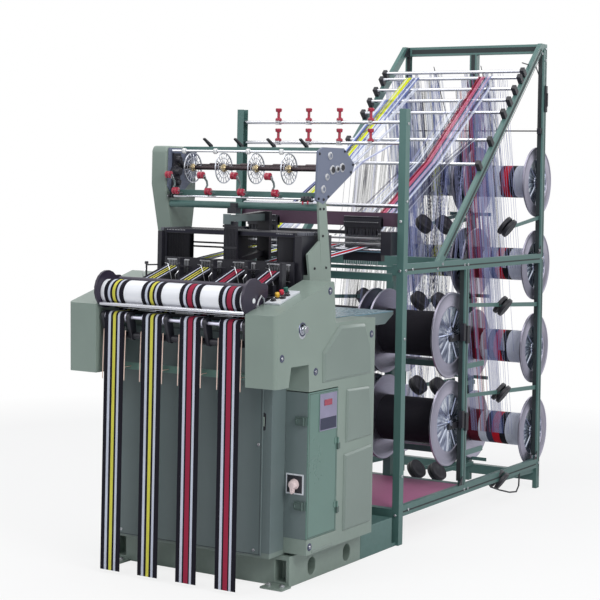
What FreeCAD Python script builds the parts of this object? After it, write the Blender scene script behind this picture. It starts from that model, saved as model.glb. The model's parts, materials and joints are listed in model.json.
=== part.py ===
import FreeCAD, Part
import math
import os

# Four-head narrow fabric needle loom with its warp creel, in millimetres.
# X runs across the machine (+X is the operator's right), Y runs from the front to the creel,
# Z runs up from the floor.  The origin is on the floor under the front of the base casting.

V = FreeCAD.Vector

# ---------------------------------------------------------------- driving dimensions
# Base and body
BASE_HALF = 429.0            # half width of the base casting
BASE_FRONT = -45.0
BASE_LENGTH = 571.0
BASE_HEIGHT = 120.0
SLOT_WIDTH = 61.0            # oval slots in the sides of the base
SLOT_HEIGHT = 71.0
SLOT_DEPTH = 60.0
SLOT_BOTTOM = 18.0
SLOT_SIDES = 14              # faces of a slot's rounded ends, were they closed
FORK_WIDTH = 50.0            # lifting openings in the front of the base
FORK_INSET = 16.0
SUB_BASE_HEIGHT = 130.0
FOOT_LENGTH = 70.0
FOOT_THICKNESS = 8.0
FOOT_WIDTH = 100.0
FOOT_HOLE_R = 8.0
FOOT_PITCH = 60.0
LINK_HEIGHT = 16.0           # foot that ties the sub base to each front post
BODY_HALF = 390.0
BODY_FRONT = -130.0
BODY_REAR = 498.0
BODY_TOP = 1021.0
PANEL_THICKNESS = 5.0
PANEL_MARGIN = 32.0

# Side covers with the drive housings at their front
COVER_OUT = 495.0
HOUSING_IN = 357.0
HOUSING_FRONT = -284.0
HOUSING_BOTTOM = BODY_TOP - 224.0
HOUSING_FRONT_TOP = BODY_TOP + 53.0
HOUSING_BACK = 137.0
HOUSING_SLOPE = 15.0         # degrees, slanted top of the housing
COVER_BOTTOM = 130.0
COVER_EDGE_R = 16.0
HAND_SHAFT_Y = -89.0
HAND_SHAFT_Z = BODY_TOP - 9.0
HAND_SHAFT_R = 12.0
HAND_SHAFT_LENGTH = 48.0
HAND_RECESS_R = 20.0
HAND_RECESS_DEPTH = 30.0

# Electrical cabinet in the right cover
BAY_FRONT = -30.0
BAY_REAR = 197.0
BAY_BOTTOM = 190.0
BAY_TOP = BODY_TOP - 256.0
CABINET_WALL = 3.0
CABINET_CLEARANCE = 2.0
DOOR_THICKNESS = 6.0
DOOR_GAP = 0.4
DISPLAY_DROP = 11.0
DISPLAY_HEIGHT = 150.0
HINGE_R = 4.0
HINGE_LENGTH = 24.0
SWITCH_PLATE = 80.0
SWITCH_Z = 403.0
KNOB_R = 17.0
KNOB_LENGTH = 20.0
KNOB_SIDES = 20
LATCH_Z = (321.0, 650.0)
LATCH_HEIGHT = 34.0
LATCH_WIDTH = 48.0

# Push buttons on the slanted top of the right housing
BUTTON_R = 9.0
BUTTON_TALL = 18.0
BUTTON_FLAT = 5.0
BUTTON_SEATED = 1.5          # length of stem that stays in the plate's hole
BUTTON_STEM_R = 5.0
BUTTON_TRAVEL = 4.0
BUTTON_PLATE_WIDTH = 66.0
BUTTON_PLATE_LENGTH = 156.0
BUTTON_PLATE_HEIGHT = 6.0
BUTTON_PLATE_X = 403.0
BUTTON_PLATE_RUN = 202.0     # distance up the slope from the front edge to the plate centre
BUTTON_PITCH_X = 24.0
BUTTON_PITCH_Y = 33.0
STEM_SIDES = 12
RUN_GAP = 0.05               # radial running clearance of shafts and stems
SEAT_GAP = 0.3               # clearance between faces that move past each other

# Take-up and delivery of the tapes
TAKEUP_Y = -223.0
TAKEUP_Z = BODY_TOP + 101.0
TAKEUP_R = 50.0
GUARD_R = 76.0
GUARD_THICKNESS = 12.0
ROD_SIDES = 12               # faces of the plain rods and shafts
ROLLER_SIDES = 16
PRESS_Y = -145.0
PRESS_Z = TAKEUP_Z + 38.0
PRESS_R = 20.0
STUB_R = 10.0
BAR_Y = -268.0
BAR_Z = BODY_TOP + 55.0
BAR_R = 11.0
DELIVERY_Y = -244.0
DELIVERY_Z = BODY_TOP + 5.0
DELIVERY_R = 18.0
DELIVERY_SHAFT_R = 7.0
DELIVERY_GAP = 0.6           # between the corners of the shaft and of its holes
LOWER_SHAFT_Y = -225.0
LOWER_SHAFT_Z = BODY_TOP - 68.0
LOWER_SHAFT_R = 11.0
TIE_Y = -190.0
TIE_Z = BODY_TOP - 195.0
TIE_R = 12.0
ARM_THICKNESS = 10.0
ARM_R = 17.0
WIRE_R = 2.0
WIRE_TOP = BODY_TOP - 36.0
WIRE_BOTTOM = TIE_Z - 29.0

# Tapes and heads
HEADS = 4
HANG_PITCH = 184.0
REED_PITCH = 165.0
TAPE_WIDTH = 96.0
REED_TAPE_WIDTH = 90.0
TAPE_THICKNESS = 1.6
TAPE_END_Z = 12.0
TAPE_STEP = 18.0             # degrees turned between two facets of a tape round a roller
FELL_Y = 94.0
FELL_Z = BODY_TOP + 197.0

# Weaving bed, reed and heald frames
BED_HALF = 344.0
BED_FRONT = -96.0
BED_REAR = 70.0
BED_TOP = BODY_TOP + 105.0
REED_Y = 128.0
REED_THICKNESS = 8.0
REED_BOTTOM = BODY_TOP + 99.0
REED_TOP = BODY_TOP + 233.0
REED_PIVOT_Z = BODY_TOP + 41.0
REED_SHAFT_R = 8.0
REED_BEARING = 12.0
REED_WINDOW_BOTTOM = FELL_Z - 40.0
REED_WINDOW_TOP = FELL_Z + 22.0
REED_DENTS = 8
HEALD_COUNT = 12
HEALD_PITCH = 18.0
HEALD_THICKNESS = 8.0
HEALD_FIRST = 165.0
HEALD_LEFT = -350.0
HEALD_RIGHT = 308.0
HEALD_BOTTOM = FELL_Z - 50.0
HEALD_TOP = FELL_Z + 154.0
HEALD_BAR = 20.0
HEALD_END = 10.0
HEALD_TRAVEL = 22.0
GUIDE_HALF = 31.0
GUIDE_FRONT = 142.0

# Head with its feed discs
PLATE_OUT = 372.0
PLATE_THICKNESS = 10.0
HEAD_COVER_OUT = 450.0
HEAD_TOP = 700.0             # above the body top
LEG_TOP = 486.0
LEG_FOOT = 182.0
TOP_TIE_Y = (326.0, 362.0)
TOP_TIE_HEIGHT = 21.0
CLAMP_LEVER_X = (-249.0, -91.0, 72.0, 232.0)
FLAT_BAR_Y = (266.0, 274.0)
TUBE_Y = 240.0
TUBE_LIFT = 454.0
TUBE_R = 15.0
EYE_ROD_Y = 230.0
EYE_X = (-300.0, -140.0, 24.0, 187.0)
THIN_ROD_Y = 216.0
THIN_ROD_LIFT = 487.0
COLLAR_X = (300.0, 318.0, 336.0)
FEED_Y = 330.0
FEED_LIFT = 609.0
FEED_Z = BODY_TOP + FEED_LIFT
FEED_R = 66.0
FEED_DISC_WIDTH = 6.0
FEED_DISC_X = (-323.0, -163.0, 1.0, 164.0)
FEED_SHAFT_R = 9.0
IDLER_Y = 410.0
IDLER_Z = FEED_Z + 10.0
IDLER_R = 8.0
KNOT_R = 12.0
KNOT_LENGTH = 26.0
TENSIONER_X = (-317.0, -150.0, 15.0, 182.0)

# Creel
CREEL_HALF = BASE_HALF - 23.0    # outer face of the rear posts and of the side rails
POST = 40.0
POST_WALL = 3.0
RAIL = 22.0
FRONT_POST_WIDTH = 34.0
CREEL_FRONT = 848.0
CREEL_REAR = 2456.0
MID_POST = 1556.0
FRONT_POST_TOP = 1905.0
REAR_POST_TOP = 2315.0
BOTTOM_RAIL_Z = 107.0
RAIL_HEIGHT = 48.0
REAR_CROSS_Z = 40.0          # rear cross rail, below the lowest flanges
MID_RAIL_Z = 1175.0
SLOPE_START = 1261.0
SLOPE_SETBACK = 37.0         # where the sloping rail reaches its top, ahead of the rear posts
SLOPE_DEPTH = 55.0
GUIDE_ROD_R = 9.0
GUIDE_ROD_Y = (2205.0, 2168.0, 2104.0, 2040.0, 1972.0, 1822.0, 1694.0)
GUIDE_ROD_LIFT = 44.0
SPOOL_ROD_Z = (1846.0, 1754.0)
SPOOL_ROD_R = 8.0
SPOOL_X = (-227.0, -66.0, 95.0, 254.0)
SPOOL_HEIGHT = 56.0
SPOOL_R = 15.0
STOP_Y = 850.0
STOP_ROD_R = 10.0
STOP_ROD_Z = 1290.0
STOP_BRACKET = 50.0

# Warp beams
BEAM_SIDES = 24
BEAM_STUB_R = 14.0
BEAM_END_GAP = 0.5
REAR_BEAM_Z = (1595.0, 1162.0, 729.0, 296.0)
REAR_BEAM_R = 182.0
REAR_WOUND_R = 84.0
FRONT_BEAM_Y = 1475.0
FRONT_BEAM_Z = (868.0, 455.0)
FRONT_BEAM_R = 202.0
FRONT_WOUND_R = 107.0
FLANGE_THICKNESS = 10.0
CRADLE_THICKNESS = 8.0
WEIGHT_R = 50.0
WEIGHT_THICKNESS = 20.0
LEVER_LENGTH = 330.0
LEVER_DROP = 48.0
LEVER_GAP = -4.0             # the lever's root stands a little above the flange's lowest point
LEVER_HEIGHT = 14.0
LEVER_THICKNESS = 6.0
WARP_THICKNESS = 1.5

# Drive motor behind the body
MOTOR_INSET = 179.0
MOTOR_R = 62.0


# ---------------------------------------------------------------- helpers
def box(x0, x1, y0, y1, z0, z1):
    return Part.makeBox(x1 - x0, y1 - y0, z1 - z0, V(x0, y0, z0))


def rod_x(x0, x1, y, z, radius):
    return Part.makeCylinder(radius, x1 - x0, V(x0, y, z), V(1, 0, 0))


def rod_y(y0, y1, x, z, radius):
    return Part.makeCylinder(radius, y1 - y0, V(x, y0, z), V(0, 1, 0))


def rod_z(z0, z1, x, y, radius):
    return Part.makeCylinder(radius, z1 - z0, V(x, y, z0), V(0, 0, 1))


def extrude(points, direction):
    wire = Part.makePolygon(points + [points[0]])
    return Part.Face(wire).extrude(direction)


def profile_x(x0, x1, outline):
    """Extrude an outline of (y, z) points along X."""
    return extrude([V(x0, y, z) for y, z in outline], V(x1 - x0, 0, 0))


def profile_y(y0, y1, outline):
    """Extrude an outline of (x, z) points along Y."""
    return extrude([V(x, y0, z) for x, z in outline], V(0, y1 - y0, 0))


def profile_z(z0, z1, outline):
    """Extrude an outline of (x, y) points along Z."""
    return extrude([V(x, y, z0) for x, y in outline], V(0, 0, z1 - z0))


def ring_points(y, z, radius, sides, turn=0.0):
    step = 2 * math.pi / sides
    angles = [turn + step * (i + 0.5) for i in range(sides)]
    return [(y + radius * math.cos(a), z + radius * math.sin(a)) for a in angles]


def prism_x(x0, x1, y, z, radius, sides):
    """Regular prism along X whose corners lie on the radius."""
    return profile_x(x0, x1, ring_points(y, z, radius, sides))


def prism_y(y0, y1, x, z, radius, sides):
    return profile_y(y0, y1, ring_points(x, z, radius, sides))


def prism_z(z0, z1, x, y, radius, sides):
    return profile_z(z0, z1, ring_points(x, y, radius, sides))


def rod_prism(x0, x1, y, z, radius):
    return prism_x(x0, x1, y, z, radius, ROD_SIDES)


def lifted(points):
    """Outline of (y, height above the body top) points, as (y, z) points."""
    return [(y, z + BODY_TOP) for y, z in points]


def fused(shapes):
    return shapes[0].multiFuse(shapes[1:]).removeSplitter()


def save(name, shapes):
    """Write one node, a single solid or a group of separate solids."""
    solids = []
    for shape in shapes:
        solids.extend(shape.Solids)
    shape = solids[0] if len(solids) == 1 else Part.makeCompound(solids)
    shape.exportStep("parts/%s.step" % name)


def mirrored(shape):
    return shape.mirror(V(0, 0, 0), V(1, 0, 0))


def both_sides(shape):
    return [shape, mirrored(shape)]


def head_centres(pitch):
    return [(i - (HEADS - 1) / 2) * pitch for i in range(HEADS)]


os.makedirs("parts", exist_ok=True)

# ---------------------------------------------------------------- base and body
base_rear = BASE_FRONT + BASE_LENGTH


def base_casting():
    body = box(-BASE_HALF, BASE_HALF, BASE_FRONT, base_rear, 0, BASE_HEIGHT)
    slots = []
    for centre in (BASE_FRONT + 172, base_rear - 117):
        half = SLOT_WIDTH / 2
        end = SLOT_HEIGHT - half
        low = SLOT_BOTTOM + half
        flat = half * math.cos(math.pi / SLOT_SIDES)
        slot = fused([
            prism_x(BASE_HALF - SLOT_DEPTH, BASE_HALF, centre, low, half, SLOT_SIDES),
            prism_x(BASE_HALF - SLOT_DEPTH, BASE_HALF, centre, SLOT_BOTTOM + end, half, SLOT_SIDES),
            box(BASE_HALF - SLOT_DEPTH, BASE_HALF, centre - flat, centre + flat,
                low, SLOT_BOTTOM + end)])
        slots += both_sides(slot)
    fork_out = BASE_HALF - FORK_INSET
    fork = box(fork_out - FORK_WIDTH, fork_out, BASE_FRONT, BASE_FRONT + SLOT_DEPTH,
               SLOT_BOTTOM, BASE_HEIGHT - SLOT_BOTTOM)
    return body.cut(slots + both_sides(fork))


save("base_casting", [base_casting()])

sub_base = box(-BASE_HALF, BASE_HALF, base_rear, CREEL_FRONT - POST, 0, SUB_BASE_HEIGHT)
link = box(CREEL_HALF - POST, BASE_HALF, CREEL_FRONT - POST, CREEL_FRONT, 0, LINK_HEIGHT)
save("sub_base", [fused([sub_base] + both_sides(link))])


def foot_plate():
    outer = BASE_HALF + 10
    rear = BASE_FRONT
    plate = box(outer - FOOT_WIDTH, outer, rear - FOOT_LENGTH, rear, 0, FOOT_THICKNESS)
    middle = outer - FOOT_WIDTH / 2
    holes = [rod_z(0, FOOT_THICKNESS, middle + s * FOOT_PITCH / 2, rear - FOOT_LENGTH / 2,
                   FOOT_HOLE_R) for s in (-1, 1)]
    return plate.cut(holes)


save("foot_plates", both_sides(foot_plate()))

body = box(-BODY_HALF, BODY_HALF, BODY_FRONT, BODY_REAR, BASE_HEIGHT, BODY_TOP)
save("body_frame", [body])

panel_half = BODY_HALF - PANEL_MARGIN - 6
panel = box(-panel_half, panel_half, BODY_FRONT - PANEL_THICKNESS, BODY_FRONT,
            COVER_BOTTOM, BODY_TOP - PANEL_MARGIN)
save("front_cover", [panel])


# ---------------------------------------------------------------- side covers
slope = math.tan(math.radians(HOUSING_SLOPE))
housing_top = HOUSING_FRONT_TOP + (HOUSING_BACK - HOUSING_FRONT) * slope
housing_outline = [
    (HOUSING_FRONT + 9, HOUSING_BOTTOM),
    (HOUSING_FRONT, HOUSING_FRONT_TOP),
    (HOUSING_BACK, housing_top),
    (HOUSING_BACK + 13, housing_top - 3),
    (HOUSING_BACK + 32, BODY_TOP)]
belly_z = BODY_TOP - 149     # underside of the drive housing
belly = [(BAY_FRONT - 8, belly_z), (BAY_FRONT - 137, belly_z + 1), (BAY_FRONT - 154, HOUSING_BOTTOM)]


def front_vertical_edges(shape, x, y_limit):
    """Edges of the housing's outer front corner, from its bottom to its slanted top."""
    found = []
    for edge in shape.Edges:
        box_ = edge.BoundBox
        if box_.YMax < y_limit and abs(box_.XMin - x) < 0.1 and box_.XLength < 0.1 and box_.ZLength > 100:
            found.append(edge)
    return found


def housing_block():
    """Part of the housing ahead of the body front and above the body top, reaching inwards."""
    front = profile_x(HOUSING_IN, COVER_OUT, [
        (HOUSING_FRONT + 9, HOUSING_BOTTOM),
        (HOUSING_FRONT, HOUSING_FRONT_TOP),
        (BODY_FRONT, HOUSING_FRONT_TOP + (BODY_FRONT - HOUSING_FRONT) * slope),
        (BODY_FRONT, belly[1][1]),
        belly[1],
        belly[2]])
    above = profile_x(HOUSING_IN, COVER_OUT, [
        (BODY_FRONT, BODY_TOP),
        (BODY_FRONT, HOUSING_FRONT_TOP + (BODY_FRONT - HOUSING_FRONT) * slope),
        (HOUSING_BACK, housing_top),
        (HOUSING_BACK + 13, housing_top - 3),
        (HOUSING_BACK + 32, BODY_TOP)])
    return [front, above]


def side_cover(with_bay):
    lower = [(BODY_REAR, BODY_TOP), (BODY_REAR, COVER_BOTTOM)]
    if with_bay:
        lower += [(BAY_FRONT, COVER_BOTTOM), (BAY_FRONT, BAY_BOTTOM), (BAY_REAR, BAY_BOTTOM),
                  (BAY_REAR, BAY_TOP), (BAY_FRONT, BAY_TOP)]
    else:
        lower += [(BAY_FRONT, COVER_BOTTOM), (BAY_FRONT, BAY_TOP)]
    shell = profile_x(BODY_HALF, COVER_OUT, housing_outline + lower + belly)
    cover = fused([shell] + housing_block())
    edges = front_vertical_edges(cover, COVER_OUT, BODY_FRONT)
    return cover.makeFillet(COVER_EDGE_R, edges)


def right_cover():
    cover = side_cover(True)
    seat = COVER_OUT - HAND_RECESS_DEPTH
    recess = rod_x(seat, COVER_OUT, HAND_SHAFT_Y, HAND_SHAFT_Z, HAND_RECESS_R)
    bore = rod_x(seat - HAND_SHAFT_LENGTH / 2, seat, HAND_SHAFT_Y, HAND_SHAFT_Z,
                 HAND_SHAFT_R + RUN_GAP)
    return cover.cut([recess, bore])


save("side_cover_right", [right_cover()])
save("side_cover_left", [mirrored(side_cover(False))])

hand_start = COVER_OUT - HAND_RECESS_DEPTH - HAND_SHAFT_LENGTH / 2 + SEAT_GAP
save("hand_shaft", [prism_x(hand_start, hand_start + HAND_SHAFT_LENGTH, HAND_SHAFT_Y,
                            HAND_SHAFT_Z, HAND_SHAFT_R, KNOB_SIDES)])


# ---------------------------------------------------------------- electrical cabinet
cab_in = BODY_HALF
cab_out = COVER_OUT - DOOR_THICKNESS - DOOR_GAP
cab_front = BAY_FRONT
cab_rear = BAY_REAR - CABINET_CLEARANCE
cab_top = BAY_TOP - CABINET_CLEARANCE * 2
hinge_x = COVER_OUT + HINGE_R + SEAT_GAP
hinge_y = BAY_REAR
hinge_z = (BAY_BOTTOM + 70, BAY_TOP - 250)


def cabinet():
    case = box(cab_in, cab_out, cab_front, cab_rear, BAY_BOTTOM, cab_top)
    room = box(cab_in + CABINET_WALL, cab_out, cab_front + CABINET_WALL,
               cab_rear - CABINET_WALL, BAY_BOTTOM + CABINET_WALL, cab_top - CABINET_WALL)
    case = case.cut(room)
    mid = (BODY_HALF + COVER_OUT) / 2 - 4
    half = SWITCH_PLATE / 2
    plate = box(mid - half, mid + half, cab_front - 3, cab_front, SWITCH_Z - half, SWITCH_Z + half)
    solids = [case, plate]
    for z in LATCH_Z:
        solids.append(box(cab_out - LATCH_WIDTH, cab_out, cab_front - 9, cab_front,
                          z - LATCH_HEIGHT / 2, z + LATCH_HEIGHT / 2))
    for z in hinge_z:
        leaf = box(COVER_OUT, COVER_OUT + 2, hinge_y + HINGE_R, hinge_y + 22, z, z + HINGE_LENGTH)
        knuckle = prism_z(z, z + HINGE_LENGTH, hinge_x, hinge_y, HINGE_R, 12)
        web = box(COVER_OUT, COVER_OUT + 2, hinge_y + 1, hinge_y + HINGE_R + 2, z, z + HINGE_LENGTH)
        solids.append(fused([leaf, web, knuckle]))
    return solids


save("electrical_cabinet", cabinet())


def door():
    inner = COVER_OUT - DOOR_THICKNESS
    leaf_depth = 20
    panel_ = box(inner, COVER_OUT, cab_front + 1, cab_rear, BAY_BOTTOM + 2, cab_top)
    display = box(COVER_OUT, COVER_OUT + 2, cab_front + 80, cab_rear - 8,
                  cab_top - DISPLAY_DROP - DISPLAY_HEIGHT, cab_top - DISPLAY_DROP)
    pieces = [panel_, display]
    for z in hinge_z:
        low = z + HINGE_LENGTH + SEAT_GAP
        knuckle = prism_z(low, low + HINGE_LENGTH, hinge_x, hinge_y, HINGE_R, 12)
        leaf = box(COVER_OUT, COVER_OUT + 2, cab_rear - leaf_depth, hinge_y - 1, low,
                   low + HINGE_LENGTH)
        pieces += [knuckle, leaf]
    return fused(pieces)


save("cabinet_door", [door()])

knob_x = (BODY_HALF + COVER_OUT) / 2 - 4
knob_front = cab_front - 3 - SEAT_GAP - KNOB_LENGTH
knob = prism_y(knob_front, knob_front + KNOB_LENGTH, knob_x, SWITCH_Z, KNOB_R, KNOB_SIDES)
grip = box(knob_x - 5, knob_x + 5, knob_front - 10, knob_front, SWITCH_Z - KNOB_R + 3,
           SWITCH_Z + KNOB_R - 3)
save("switch_knob", [fused([knob, grip])])


# ---------------------------------------------------------------- buttons on the slope
def on_slope(shape, x, run):
    """Place a shape modelled at the origin on the slanted top, a run up from its front edge."""
    placed = shape.copy()
    placed.translate(V(0, run, 0))
    placed.rotate(V(0, 0, 0), V(1, 0, 0), HOUSING_SLOPE)
    placed.translate(V(x, HOUSING_FRONT, HOUSING_FRONT_TOP))
    return placed


def button_layout():
    """Name, place on the plate and height of each button; the coloured ones stand tall."""
    inner = -BUTTON_PITCH_X / 2
    outer = BUTTON_PITCH_X / 2
    return [
        ("button_black_1", inner, -1.5 * BUTTON_PITCH_Y, BUTTON_FLAT),
        ("button_yellow", inner, -0.5 * BUTTON_PITCH_Y, BUTTON_TALL),
        ("button_red", inner, 0.5 * BUTTON_PITCH_Y, BUTTON_TALL),
        ("button_green", inner, 1.5 * BUTTON_PITCH_Y, BUTTON_TALL),
        ("button_black_2", outer, -0.5 * BUTTON_PITCH_Y, BUTTON_FLAT),
        ("button_black_3", outer, 0.5 * BUTTON_PITCH_Y, BUTTON_FLAT)]


stem_depth = BUTTON_TRAVEL + SEAT_GAP + BUTTON_SEATED
hole_r = BUTTON_STEM_R + RUN_GAP / math.cos(math.pi / STEM_SIDES)
plate = box(-BUTTON_PLATE_WIDTH / 2, BUTTON_PLATE_WIDTH / 2, -BUTTON_PLATE_LENGTH / 2,
            BUTTON_PLATE_LENGTH / 2, 0, BUTTON_PLATE_HEIGHT + BUTTON_SEATED)
plate_top = BUTTON_PLATE_HEIGHT + BUTTON_SEATED
for name, dx, dy, height in button_layout():
    plate = plate.cut(prism_z(plate_top - stem_depth, plate_top, dx, dy, hole_r, STEM_SIDES))
save("button_plate", [on_slope(plate, BUTTON_PLATE_X, BUTTON_PLATE_RUN)])

for name, dx, dy, height in button_layout():
    under_cap = plate_top + BUTTON_TRAVEL + SEAT_GAP
    cap = prism_z(under_cap, under_cap + height, dx, dy, BUTTON_R, ROLLER_SIDES)
    stem = prism_z(plate_top - BUTTON_SEATED, under_cap, dx, dy, BUTTON_STEM_R, STEM_SIDES)
    save(name, [on_slope(cap.fuse(stem), BUTTON_PLATE_X, BUTTON_PLATE_RUN)])


# ---------------------------------------------------------------- take-up
guard_in = HOUSING_IN - GUARD_THICKNESS


def takeup_guard():
    """Rounded end plate with an ear that carries the press roller."""
    disc = [(TAKEUP_Y + GUARD_R * math.cos(a), TAKEUP_Z + 10 + GUARD_R * math.sin(a))
            for a in [math.radians(18 * i + 45) for i in range(14)]]
    ear = [(PRESS_Y - 10, TAKEUP_Z - 30), (PRESS_Y + 22, PRESS_Z - 20), (PRESS_Y + 22, PRESS_Z + 14),
           (PRESS_Y + 4, PRESS_Z + 26)]
    plate = profile_x(guard_in, HOUSING_IN, disc + ear)
    holes = [rod_x(guard_in, HOUSING_IN, TAKEUP_Y, TAKEUP_Z, STUB_R + RUN_GAP),
             rod_x(guard_in, HOUSING_IN, PRESS_Y, PRESS_Z, STUB_R / 2 + RUN_GAP)]
    return plate.cut(holes)


save("takeup_guards", both_sides(takeup_guard()))

roller_half = guard_in - SEAT_GAP


def roller(y, z, radius, sides, stub):
    barrel = prism_x(-roller_half, roller_half, y, z, radius, sides)
    axle = rod_prism(-HOUSING_IN + SEAT_GAP, HOUSING_IN - SEAT_GAP, y, z, stub)
    return barrel.fuse(axle).removeSplitter()


save("takeup_roller", [roller(TAKEUP_Y, TAKEUP_Z, TAKEUP_R, BEAM_SIDES, STUB_R)])
save("press_roller", [roller(PRESS_Y, PRESS_Z, PRESS_R, ROLLER_SIDES, STUB_R / 2)])

arm_x = [x - HANG_PITCH / 2 for x in head_centres(HANG_PITCH)] + [HEADS / 2 * HANG_PITCH - 30]
arm_x[0] = -HEADS / 2 * HANG_PITCH + 30


def delivery_arm(x):
    """Rounded plate from the lower shaft up to the delivery shaft."""
    top = [(DELIVERY_Y + ARM_R * math.cos(a), DELIVERY_Z + ARM_R * math.sin(a))
           for a in [math.radians(36 * i) for i in range(6)]]
    bottom = [(LOWER_SHAFT_Y + ARM_R * math.cos(a), LOWER_SHAFT_Z + ARM_R * math.sin(a))
              for a in [math.radians(180 + 45 * i) for i in range(5)]]
    plate = profile_x(x - ARM_THICKNESS / 2, x + ARM_THICKNESS / 2, top + bottom)
    return plate.cut(rod_prism(x - ARM_THICKNESS, x + ARM_THICKNESS, DELIVERY_Y, DELIVERY_Z,
                               DELIVERY_SHAFT_R + DELIVERY_GAP))


lower_shaft = rod_prism(-HOUSING_IN, HOUSING_IN, LOWER_SHAFT_Y, LOWER_SHAFT_Z, LOWER_SHAFT_R)
tie = rod_prism(-HOUSING_IN, HOUSING_IN, TIE_Y, TIE_Z, TIE_R)
save("delivery_arms", [fused([lower_shaft] + [delivery_arm(x) for x in arm_x]), tie])

delivery = [rod_prism(arm_x[0] - ARM_THICKNESS, arm_x[-1] + ARM_THICKNESS, DELIVERY_Y, DELIVERY_Z,
                      DELIVERY_SHAFT_R)]
for x in head_centres(HANG_PITCH):
    delivery.append(prism_x(x - TAPE_WIDTH / 2 - 4, x + TAPE_WIDTH / 2 + 4, DELIVERY_Y,
                            DELIVERY_Z, DELIVERY_R, ROLLER_SIDES))
save("delivery_roller", [fused(delivery)])

bar = rod_prism(-guard_in, guard_in, BAR_Y, BAR_Z, BAR_R)


def wire_guide(x):
    """Bent wire beside a tape, with its foot on the tie bar."""
    upright = prism_z(WIRE_BOTTOM, WIRE_TOP, x, BAR_Y + 6, WIRE_R, 6)
    foot = prism_y(BAR_Y + 6, TIE_Y - TIE_R + 1, x, TIE_Z, WIRE_R, 6)
    return upright.fuse(foot).removeSplitter().cut(tie)


wires = []
for centre in head_centres(HANG_PITCH):
    for side in (-1, 1):
        wires.append(wire_guide(centre + side * (TAPE_WIDTH / 2 + 8)))
save("takeup_rods", [bar] + wires)


# ---------------------------------------------------------------- tapes
def tangent(a, b):
    """Points where a straight stretch leaves circle a and reaches circle b.

    A circle is (y, z, radius, turn), turn +1 for anticlockwise and -1 for clockwise."""
    ay, az, ar, at = a
    by, bz, br, bt = b
    dy = by - ay
    dz = bz - az
    dist = math.hypot(dy, dz)
    base = math.atan2(dz, dy)
    lean = math.asin((at * ar - bt * br) / dist)
    direction = base + lean
    ny = math.sin(direction)
    nz = -math.cos(direction)
    return (ay + at * ar * ny, az + at * ar * nz), (by + bt * br * ny, bz + bt * br * nz)


def belt_path(stops, step):
    """Line through the stops: straight stretches joined by arcs round each circle."""
    points = []
    arrive = None
    for here, there in zip(stops, stops[1:]):
        leave, reach = tangent(here, there)
        if arrive is not None and here[2] > 0:
            y, z, radius, turn = here
            a0 = math.atan2(arrive[1] - z, arrive[0] - y)
            a1 = math.atan2(leave[1] - z, leave[0] - y)
            sweep = (a1 - a0) * turn % (2 * math.pi)
            count = max(1, math.ceil(math.degrees(sweep) / step))
            for i in range(1, count):
                angle = a0 + turn * sweep * i / count
                points.append((y + radius * math.cos(angle), z + radius * math.sin(angle)))
        points.append(leave)
        points.append(reach)
        arrive = reach
    return points


def band_outline(points, thickness):
    """Closed outline of a band of even thickness about a line of points."""
    left = []
    right = []
    for i, (y, z) in enumerate(points):
        y0, z0 = points[max(i - 1, 0)]
        y1, z1 = points[min(i + 1, len(points) - 1)]
        length = math.hypot(y1 - y0, z1 - z0)
        ny = -(z1 - z0) / length * thickness / 2
        nz = (y1 - y0) / length * thickness / 2
        left.append((y + ny, z + nz))
        right.append((y - ny, z - nz))
    return left + right[::-1]


def thinned(points, least=0.5):
    kept = [points[0]]
    for point in points[1:]:
        if math.hypot(point[0] - kept[-1][0], point[1] - kept[-1][1]) > least:
            kept.append(point)
    return kept


def roll(radius):
    """Radius of a tape's middle round a roller, with the straight facets clear of the roller."""
    return (radius + SEAT_GAP + TAPE_THICKNESS / 2) / math.cos(math.radians(TAPE_STEP / 2))


stops = [
    (FELL_Y, FELL_Z, 0.0, 1),
    (PRESS_Y, PRESS_Z, roll(PRESS_R), -1),
    (TAKEUP_Y, TAKEUP_Z, roll(TAKEUP_R), 1),
    (BAR_Y, BAR_Z, roll(BAR_R), -1),
    (DELIVERY_Y, DELIVERY_Z, roll(DELIVERY_R), 1),
    (DELIVERY_Y - roll(DELIVERY_R), TAPE_END_Z, 0.0, 1)]
tape_line = thinned(belt_path(stops, TAPE_STEP))


def tape(index):
    """One tape, drifting sideways from the reed pitch to the hanging pitch."""
    outline = band_outline(tape_line, TAPE_THICKNESS)
    reed_x = head_centres(REED_PITCH)[index]
    hang_x = head_centres(HANG_PITCH)[index]
    half = TAPE_WIDTH / 2
    count = len(tape_line)
    rows = []
    for i in range(count):
        y, z = outline[i]
        y2, z2 = outline[2 * count - 1 - i]
        share = min(max((FELL_Y - tape_line[i][0]) / (FELL_Y - BAR_Y), 0), 1)
        if tape_line[i][1] < DELIVERY_Z:
            share = 1.0
        x = reed_x + (hang_x - reed_x) * share
        rows.append((V(x - half, y, z), V(x + half, y, z), V(x + half, y2, z2), V(x - half, y2, z2)))
    faces = [Part.Face(Part.makePolygon(list(rows[0]) + [rows[0][0]])),
             Part.Face(Part.makePolygon(list(rows[-1]) + [rows[-1][0]]))]
    for a, b in zip(rows, rows[1:]):
        for j in range(4):
            k = (j + 1) % 4
            corner = (a[j], a[k], b[k], b[j])
            faces.append(Part.Face(Part.makePolygon([corner[0], corner[1], corner[2], corner[0]])))
            faces.append(Part.Face(Part.makePolygon([corner[0], corner[2], corner[3], corner[0]])))
    shell = Part.makeShell(faces)
    shell.sewShape()
    solid = Part.makeSolid(Part.Shell(shell.Faces))
    if solid.Volume < 0:
        solid.reverse()
    return solid


save("woven_tapes", [tape(i) for i in range(HEADS)])


# ---------------------------------------------------------------- weaving bed and reed
bed = box(-BED_HALF, BED_HALF, BED_FRONT, BED_REAR, BODY_TOP, BED_TOP)
posts = [bed]
for x in head_centres(REED_PITCH):
    x_side = x + REED_PITCH / 2 - 6
    posts.append(box(x_side - 7, x_side + 7, 20, 50, BED_TOP, FELL_Z + 32))

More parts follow.
